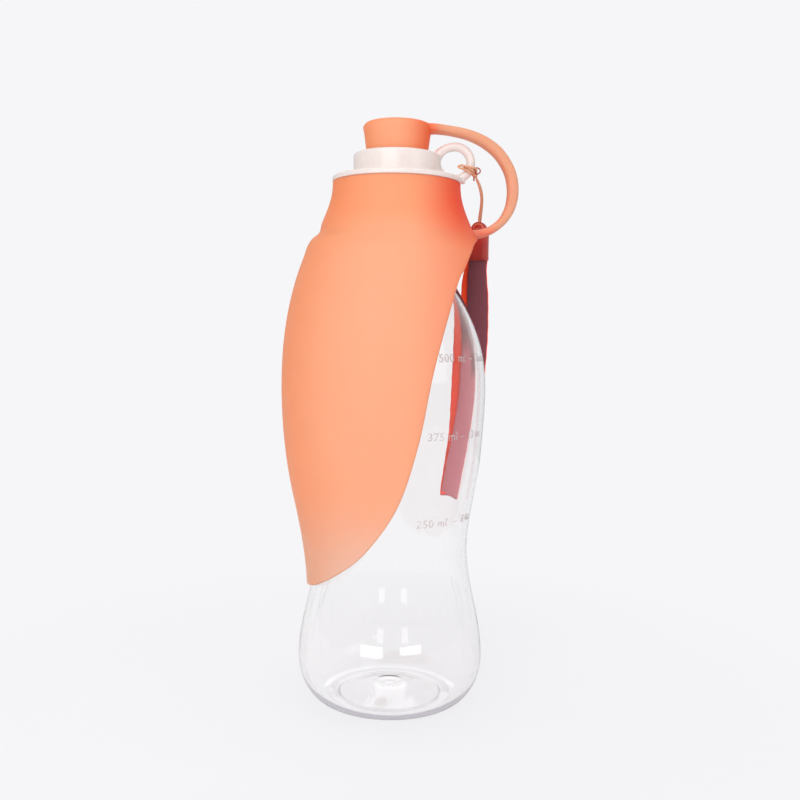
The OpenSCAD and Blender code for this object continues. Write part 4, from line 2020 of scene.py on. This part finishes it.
    def make_dome(self, finish: Finish) -> Piece:
        """Makes the half round top of the crimp sleeve.

        Args:
            finish: The red plastic.

        Returns:
            The top.
        """
        side, out, middle = self.ferrule_frame()
        rise = np.array([0, 0, 1])
        dome = self.ferrule_w / 2 - self.dome_in
        depth = self.ferrule_t / 2 - self.dome_thin
        sides = 28
        layers = [(-1.0, 0.72), (-0.94, 0.9), (-0.8, 0.98), (-0.5, 1.0), (0.5, 1.0), (0.8, 0.98),
                  (0.94, 0.9), (1.0, 0.72)]
        points, faces = [], []
        for share, scale in layers:
            for k in range(sides + 1):
                a = math.pi * k / sides
                bow = side * math.cos(a) + rise * math.sin(a)
                points.append(middle + dome * scale * bow + out * depth * share)
        width = sides + 1
        for i in range(len(layers) - 1):
            faces += [[a, a + 1, a + width + 1, a + width]
                      for a in range(i * width, i * width + sides)]
        for end in (0, len(layers) - 1):
            faces.append([end * width + k for k in range(width)])
        for i in range(len(layers) - 1):
            a = i * width
            faces.append([a, a + sides, a + width + sides, a + width])
        return make_piece("ferrule_dome", np.array(points), faces, [finish], crease=60)

    def make_moons(self, finish: Finish) -> list[Piece]:
        """Makes the lighter half moon on each face of the crimp sleeve.

        Args:
            finish: Their lighter material.

        Returns:
            The two half moons.
        """
        side, out, middle = self.ferrule_frame()
        wide, high = self.moon_r
        moons = []
        for face in (-1, 1):
            base = middle + out * (self.ferrule_t / 2 - self.moon_in) * face
            bow = [base + side * wide * math.cos(a)
                   + np.array([0, 0, 1]) * (self.moon_up + high * math.sin(a))
                   for a in np.linspace(0, math.pi, 13)]
            bow.append(bow[0])
            moons.append(swept("ferrule_half_moon", np.array(bow),
                               lambda i: ellipse_section(self.moon_bar, self.moon_bar, 10),
                               [finish], crease=80))
        return moons

    def make_ferrule(self, finish: Finish, edge: Finish) -> Piece:
        """Makes the crimp sleeve with its domed top, lip and half moons.

        Args:
            finish: The red plastic.
            edge: The lighter material of the half moons.

        Returns:
            The crimp sleeve.
        """
        x, y, z = self.ferrule_at
        rows = [(0.0, -0.5), (0.25, -0.1), (0.7, 0.12), (1.1, 0.1), (1.5, 0.0), (4.0, -0.05),
                (8.0, -0.05), (self.ferrule_h - 0.6, -0.05), (self.ferrule_h, -0.35)]
        path = np.array([[x, y, z + height] for height, _ in rows])

        def section(i: int) -> np.ndarray:
            """Band with round edges, which grows to the lip and shrinks above it."""
            sizes = [size + rows[i][1] for size in (self.ferrule_w, self.ferrule_t)]
            return band_section(*sizes, self.ferrule_power, 44)

        body = swept("ferrule_body", path, section, [finish], self.ferrule_frame()[0], crease=70)
        pieces = [body, self.make_dome(finish)] + self.make_moons(edge)
        ferrule = joined("crimp_ferrule", pieces)
        return settle(ferrule, Body.LANYARD, Slot.FERRULE, "ferrule")

    def make_ribbon(self, outer: Finish, inner: Finish) -> Piece:
        """Makes the ribbon's loop, with one finish on each face.

        Args:
            outer: Finish of the face outside the loop.
            inner: Finish of the face inside it.

        Returns:
            The ribbon.
        """
        path = smooth_curve(self.ribbon_route, 12)
        lengths = lengths_along(path)
        sides = 30
        base = band_section(self.ribbon_w, self.ribbon_t, self.ribbon_power, sides)
        cup, cup_pace = self.ribbon_cup
        wave, wave_pace = self.ribbon_waves

        def section(i: int) -> np.ndarray:
            """Flat band, slightly cupped and uneven, drawn in towards the crimp sleeve.

            Args:
                i: Number of a point of the path.

            Returns:
                Points about its middle.
            """
            s = lengths[i]
            pinch = 1 - self.ribbon_pinch * ease(*self.ribbon_pinch_z, path[i][2])
            shape = base.copy()
            bow = np.cos(shape[:, 0] / self.ribbon_w * math.pi)
            shape[:, 1] += cup * bow * math.sin(s * cup_pace)
            shape[:, 0] *= (1 + wave * math.sin(s * wave_pace)) * pinch
            return shape

        def face_of(k: int) -> int:
            """Which finish a side of the section takes."""
            across, out = base[k] + base[(k + 1) % sides]
            return 0 if out > 0 and abs(across) <= self.ribbon_w - self.ribbon_edge else 1

        turn = math.radians(self.ribbon_turn)
        ribbon = swept("wrist_ribbon_loop", path, section, [outer, inner],
                       (math.cos(turn), -math.sin(turn), self.ribbon_lean), crease=60,
                       pick=face_of)
        settle(ribbon, Body.LANYARD, Slot.RIBBON, "wrist_ribbon")
        return ribbon


# ---- Studio ----

class Ray(Enum):
    """Kinds of ray that a lamp can be hidden from, by the name of their switch."""

    DIFFUSE = "visible_diffuse"
    GLOSSY = "visible_glossy"
    TRANSMISSION = "visible_transmission"


@dataclass(frozen=True)
class SoftBox:
    """A soft box that faces the bottle: metres, degrees and watts.

    It stands at an azimuth from -Y towards +X and an elevation, both seen from its aim.
    """

    name: str
    azimuth: float
    elevation: float
    distance: float
    size: Flat
    power: float
    aim: Place = (0, 0, 0.12)
    spread: Optional[float] = None
    hidden_from: tuple[Ray, ...] = ()

    def place(self, only: Optional[Piece] = None) -> None:
        """Places the lamp.

        Args:
            only: The one piece that it lights, or nothing for all of them.
        """
        light = bpy.data.lights.new(self.name, "AREA")
        light.shape = "RECTANGLE"
        light.size, light.size_y = self.size
        light.energy = self.power
        if self.spread is not None:
            light.spread = math.radians(self.spread)
        lamp = bpy.data.objects.new(self.name, light)
        lamp.visible_camera = False
        for ray in self.hidden_from:
            setattr(lamp, ray.value, False)
        bpy.context.scene.collection.objects.link(lamp)
        if only:
            lit = bpy.data.collections.new(self.name)
            lit.objects.link(only)
            lamp.light_linking.receiver_collection = lit
        a, e = math.radians(self.azimuth), math.radians(self.elevation)
        away = Vector((math.sin(a) * math.cos(e), -math.cos(a) * math.cos(e), math.sin(e)))
        spot = Matrix.Translation(Vector(self.aim) + self.distance * away)
        lamp.matrix_world = spot @ away.to_track_quat("Z", "Y").to_matrix().to_4x4()


@dataclass
class Studio:
    """Camera, lamps, pale floor and white surroundings."""

    eye: Place = (0.0027, -0.3885, 0.1552)
    pitch: float = 4.29
    roll: float = 0.878
    lens: float = 932 / 800 * 36
    backdrop: Colour = linear(246, 246, 248)
    room: Colour = (0.98, 0.985, 1.0)
    room_strength: float = 0.58
    floor_z: float = -0.06
    floor_rings: tuple[float, ...] = (60.0, 120.0, 200.0, 300.0, 600.0)
    ribbon_box: str = "ribbon_box"
    lamps: tuple[SoftBox, ...] = (
        SoftBox("key_box", -19, 25, 1.3, (1.0, 0.9), 7.25, hidden_from=(Ray.TRANSMISSION,)),
        SoftBox("fill_box", 55, 20, 1.5, (0.8, 0.9), 1.9),
        SoftBox("back_box", 180, 36, 1.2, (0.52, 0.78), 1.35, hidden_from=(Ray.DIFFUSE,)),
        SoftBox("rear_box", 180, 18, 1.5, (0.9, 0.9), 3.4,
                hidden_from=(Ray.GLOSSY, Ray.TRANSMISSION)),
        SoftBox("ribbon_box", -4, 14, 1.2, (0.6, 0.8), 19.5, (0.034, 0.02, 0.15)),
        SoftBox("top_box", 10, 82, 1.2, (0.9, 0.9), 2.1),
        SoftBox("window_left", -22, -0.7, 0.06, (0.039, 0.0099), 0.0007,
                (-0.0067, -0.0374, 0.0313), 48, (Ray.DIFFUSE, Ray.TRANSMISSION)),
        SoftBox("window_right", 26, -0.1, 0.06, (0.037, 0.0071), 0.0005,
                (0.0083, -0.0371, 0.032), 48, (Ray.DIFFUSE, Ray.TRANSMISSION)),
        SoftBox("streak_left", -12, 4.2, 1.0, (0.14, 0.065), 0.04, (0, 0, 0.046)),
        SoftBox("streak_right", 19, 4.2, 1.0, (0.14, 0.065), 0.04, (0, 0, 0.046)))

    def place_camera(self) -> None:
        """Places the camera and makes it the scene's own."""
        camera = bpy.data.cameras.new("camera")
        camera.sensor_width = 36
        camera.lens = self.lens
        camera.clip_start = 0.01
        holder = bpy.data.objects.new("camera", camera)
        bpy.context.scene.collection.objects.link(holder)
        p, r = math.radians(self.pitch), math.radians(self.roll)
        level, rise = Vector((1, 0, 0)), Vector((0, math.sin(p), math.cos(p)))
        right = math.cos(r) * level + math.sin(r) * rise
        up = -math.sin(r) * level + math.cos(r) * rise
        ahead = Vector((0, math.cos(p), -math.sin(p)))
        turn = Matrix((right, up, -ahead)).transposed().to_4x4()
        holder.matrix_world = Matrix.Translation(self.eye) @ turn
        bpy.context.scene.camera = holder

    def light_scene(self, ribbon: Piece) -> None:
        """Sets the soft boxes.

        Args:
            ribbon: The wrist ribbon, which hangs in the leaf's shade and has a box of its own.
        """
        for lamp in self.lamps:
            lamp.place(ribbon if lamp.name == self.ribbon_box else None)

    def fill_room(self) -> None:
        """Sets the even light of the room, and the white that is seen behind the bottle."""
        world = bpy.data.worlds.new("room")
        bpy.context.scene.world = world
        world.use_nodes = True
        n = Nodes(world.node_tree)
        seen = n.seen_directly()
        room = n.add("Background", {"Color": opaque(self.room), "Strength": self.room_strength})
        white = n.add("Background", {"Color": opaque(self.backdrop), "Strength": 1.0})
        mix = n.blend_shaders(seen, room, white)
        n.feed(n.add("OutputWorld"), {0: mix.outputs[0]})

    def lay_floor(self) -> None:
        """Lays the pale floor, which fades into the surroundings away from the bottle."""
        sides = 96
        points = [[0.0, 0.0, self.floor_z]]
        for r in self.floor_rings:
            turns = [2 * math.pi * k / sides for k in range(sides)]
            points += [[r * math.cos(a), r * math.sin(a), self.floor_z] for a in turns]
        faces = [[0, 1 + k, 1 + (k + 1) % sides] for k in range(sides)]
        for i in range(len(self.floor_rings) - 1):
            a, b = 1 + i * sides, 1 + (i + 1) * sides
            faces += [[a + k, b + k, b + (k + 1) % sides, a + (k + 1) % sides]
                      for k in range(sides)]
        material = PaleFloor(self.backdrop).material()
        make_piece("floor", np.array(points), faces, [material])


# ---- Assembly ----

@dataclass(frozen=True)
class Palette:
    """The finishes of every part, as built materials."""

    clear: Finish
    frosted: Finish
    seal: Finish
    white: Finish
    collar: Finish
    plug: Finish
    strap: Finish
    cord: Finish
    cord_end: Finish
    ferrule: Finish
    ferrule_edge: Finish
    ribbon_outer: Finish
    ribbon_inner: Finish


def mix_palette() -> Palette:
    """Builds every material of the bottle.

    Returns:
        The materials.
    """
    plug = linear(253, 168, 127)
    strap = linear(235, 168, 134)
    return Palette(
        clear=ClearPlastic().material(),
        frosted=RaisedMark().material(),
        seal=HardPlastic("seal_silicone", linear(238, 236, 232), linear(226, 223, 218),
                         roughness=0.5, scatter=0.2).material(),
        white=HardPlastic("white_plastic", linear(243, 231, 226), linear(238, 225, 220),
                          roughness=0.26, scatter=0.15, relief=0.04, coat=0.12).material(),
        # The collar, the plug's +X side and the strap near the crown take painted shade.
        collar=Silicone("coral_silicone", linear(252, 171, 132), linear(252, 72, 46),
                        linear(253, 160, 116), linear(235, 188, 166), side=0.25).material(),
        plug=Silicone("plug_silicone", plug, linear(254, 106, 58), plug, plug,
                      painted_shade_x=(0.0, 0.0175), painted_shade_z=(0.22, 0.23)).material(),
        # The strap's root takes painted shade where it meets the sleeve.
        strap=Silicone("strap_silicone", strap, linear(251, 122, 78), strap,
                       linear(238, 128, 100), scatter=0.5, rim=(1.0, 0.95, 0.93),
                       painted_shade_x=(0.0195, 0.0125), painted_light_and_shade_below=(0.1985, 0.1946)).material(),
        cord=LaidCord().material(),
        cord_end=LaidCord(linear(180, 84, 70), linear(150, 62, 54), "cord_end").material(),
        ferrule=HardPlastic("ferrule_plastic", linear(192, 60, 50), linear(164, 46, 40),
                            roughness=0.38, relief=0.1, coat=0.1).material(),
        ferrule_edge=HardPlastic("ferrule_edge", linear(242, 146, 112), linear(230, 128, 96),
                                 roughness=0.4).material(),
        ribbon_outer=WovenRibbon("ribbon_maroon", linear(122, 67, 76), linear(101, 53, 61),
                                 linear(206, 126, 137)).material(),
        ribbon_inner=WovenRibbon("ribbon_coral", linear(255, 84, 46), linear(244, 66, 36),
                                 linear(255, 66, 26), through=0.06).material())


def main() -> None:
    """Builds the bottle piece by piece, camera and cords first."""
    bpy.context.scene.view_settings.view_transform = "Standard"
    studio = Studio()
    studio.place_camera()
    paint = mix_palette()
    cap = ScrewCap()
    lanyard = WristLanyard(cap)
    ferrule = lanyard.make_ferrule(paint.ferrule, paint.ferrule_edge)
    ribbon = lanyard.make_ribbon(paint.ribbon_outer, paint.ribbon_inner)
    made = [lanyard.make_cord(paint.cord), ribbon, ferrule,
            lanyard.make_hitch(paint.cord, paint.cord_end)]
    bottle = ClearBottle()
    made += [bottle.make_shell(paint.clear), bottle.make_marks(paint.frosted),
             cap.make(paint.white)]
    shoulder = FoldShoulder()
    made += [SiliconeSleeve(shoulder).make(paint.collar),
             SiliconeLeaf(bottle, shoulder).make(paint.collar)]
    stopper = StopperSet()
    made += [stopper.make_plug(paint.plug), stopper.make_strap(paint.strap)]
    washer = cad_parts["gasket"]
    washer.data.materials.clear()
    washer.data.materials.append(paint.seal)
    for piece in made:
        log.info("%s: %d faces", piece.name, len(piece.data.polygons))
    studio.lay_floor()
    studio.light_scene(ribbon)
    studio.fill_room()


if __name__ == "__main__":
    logging.basicConfig(level=logging.INFO, format="%(name)s: %(message)s")
    main()
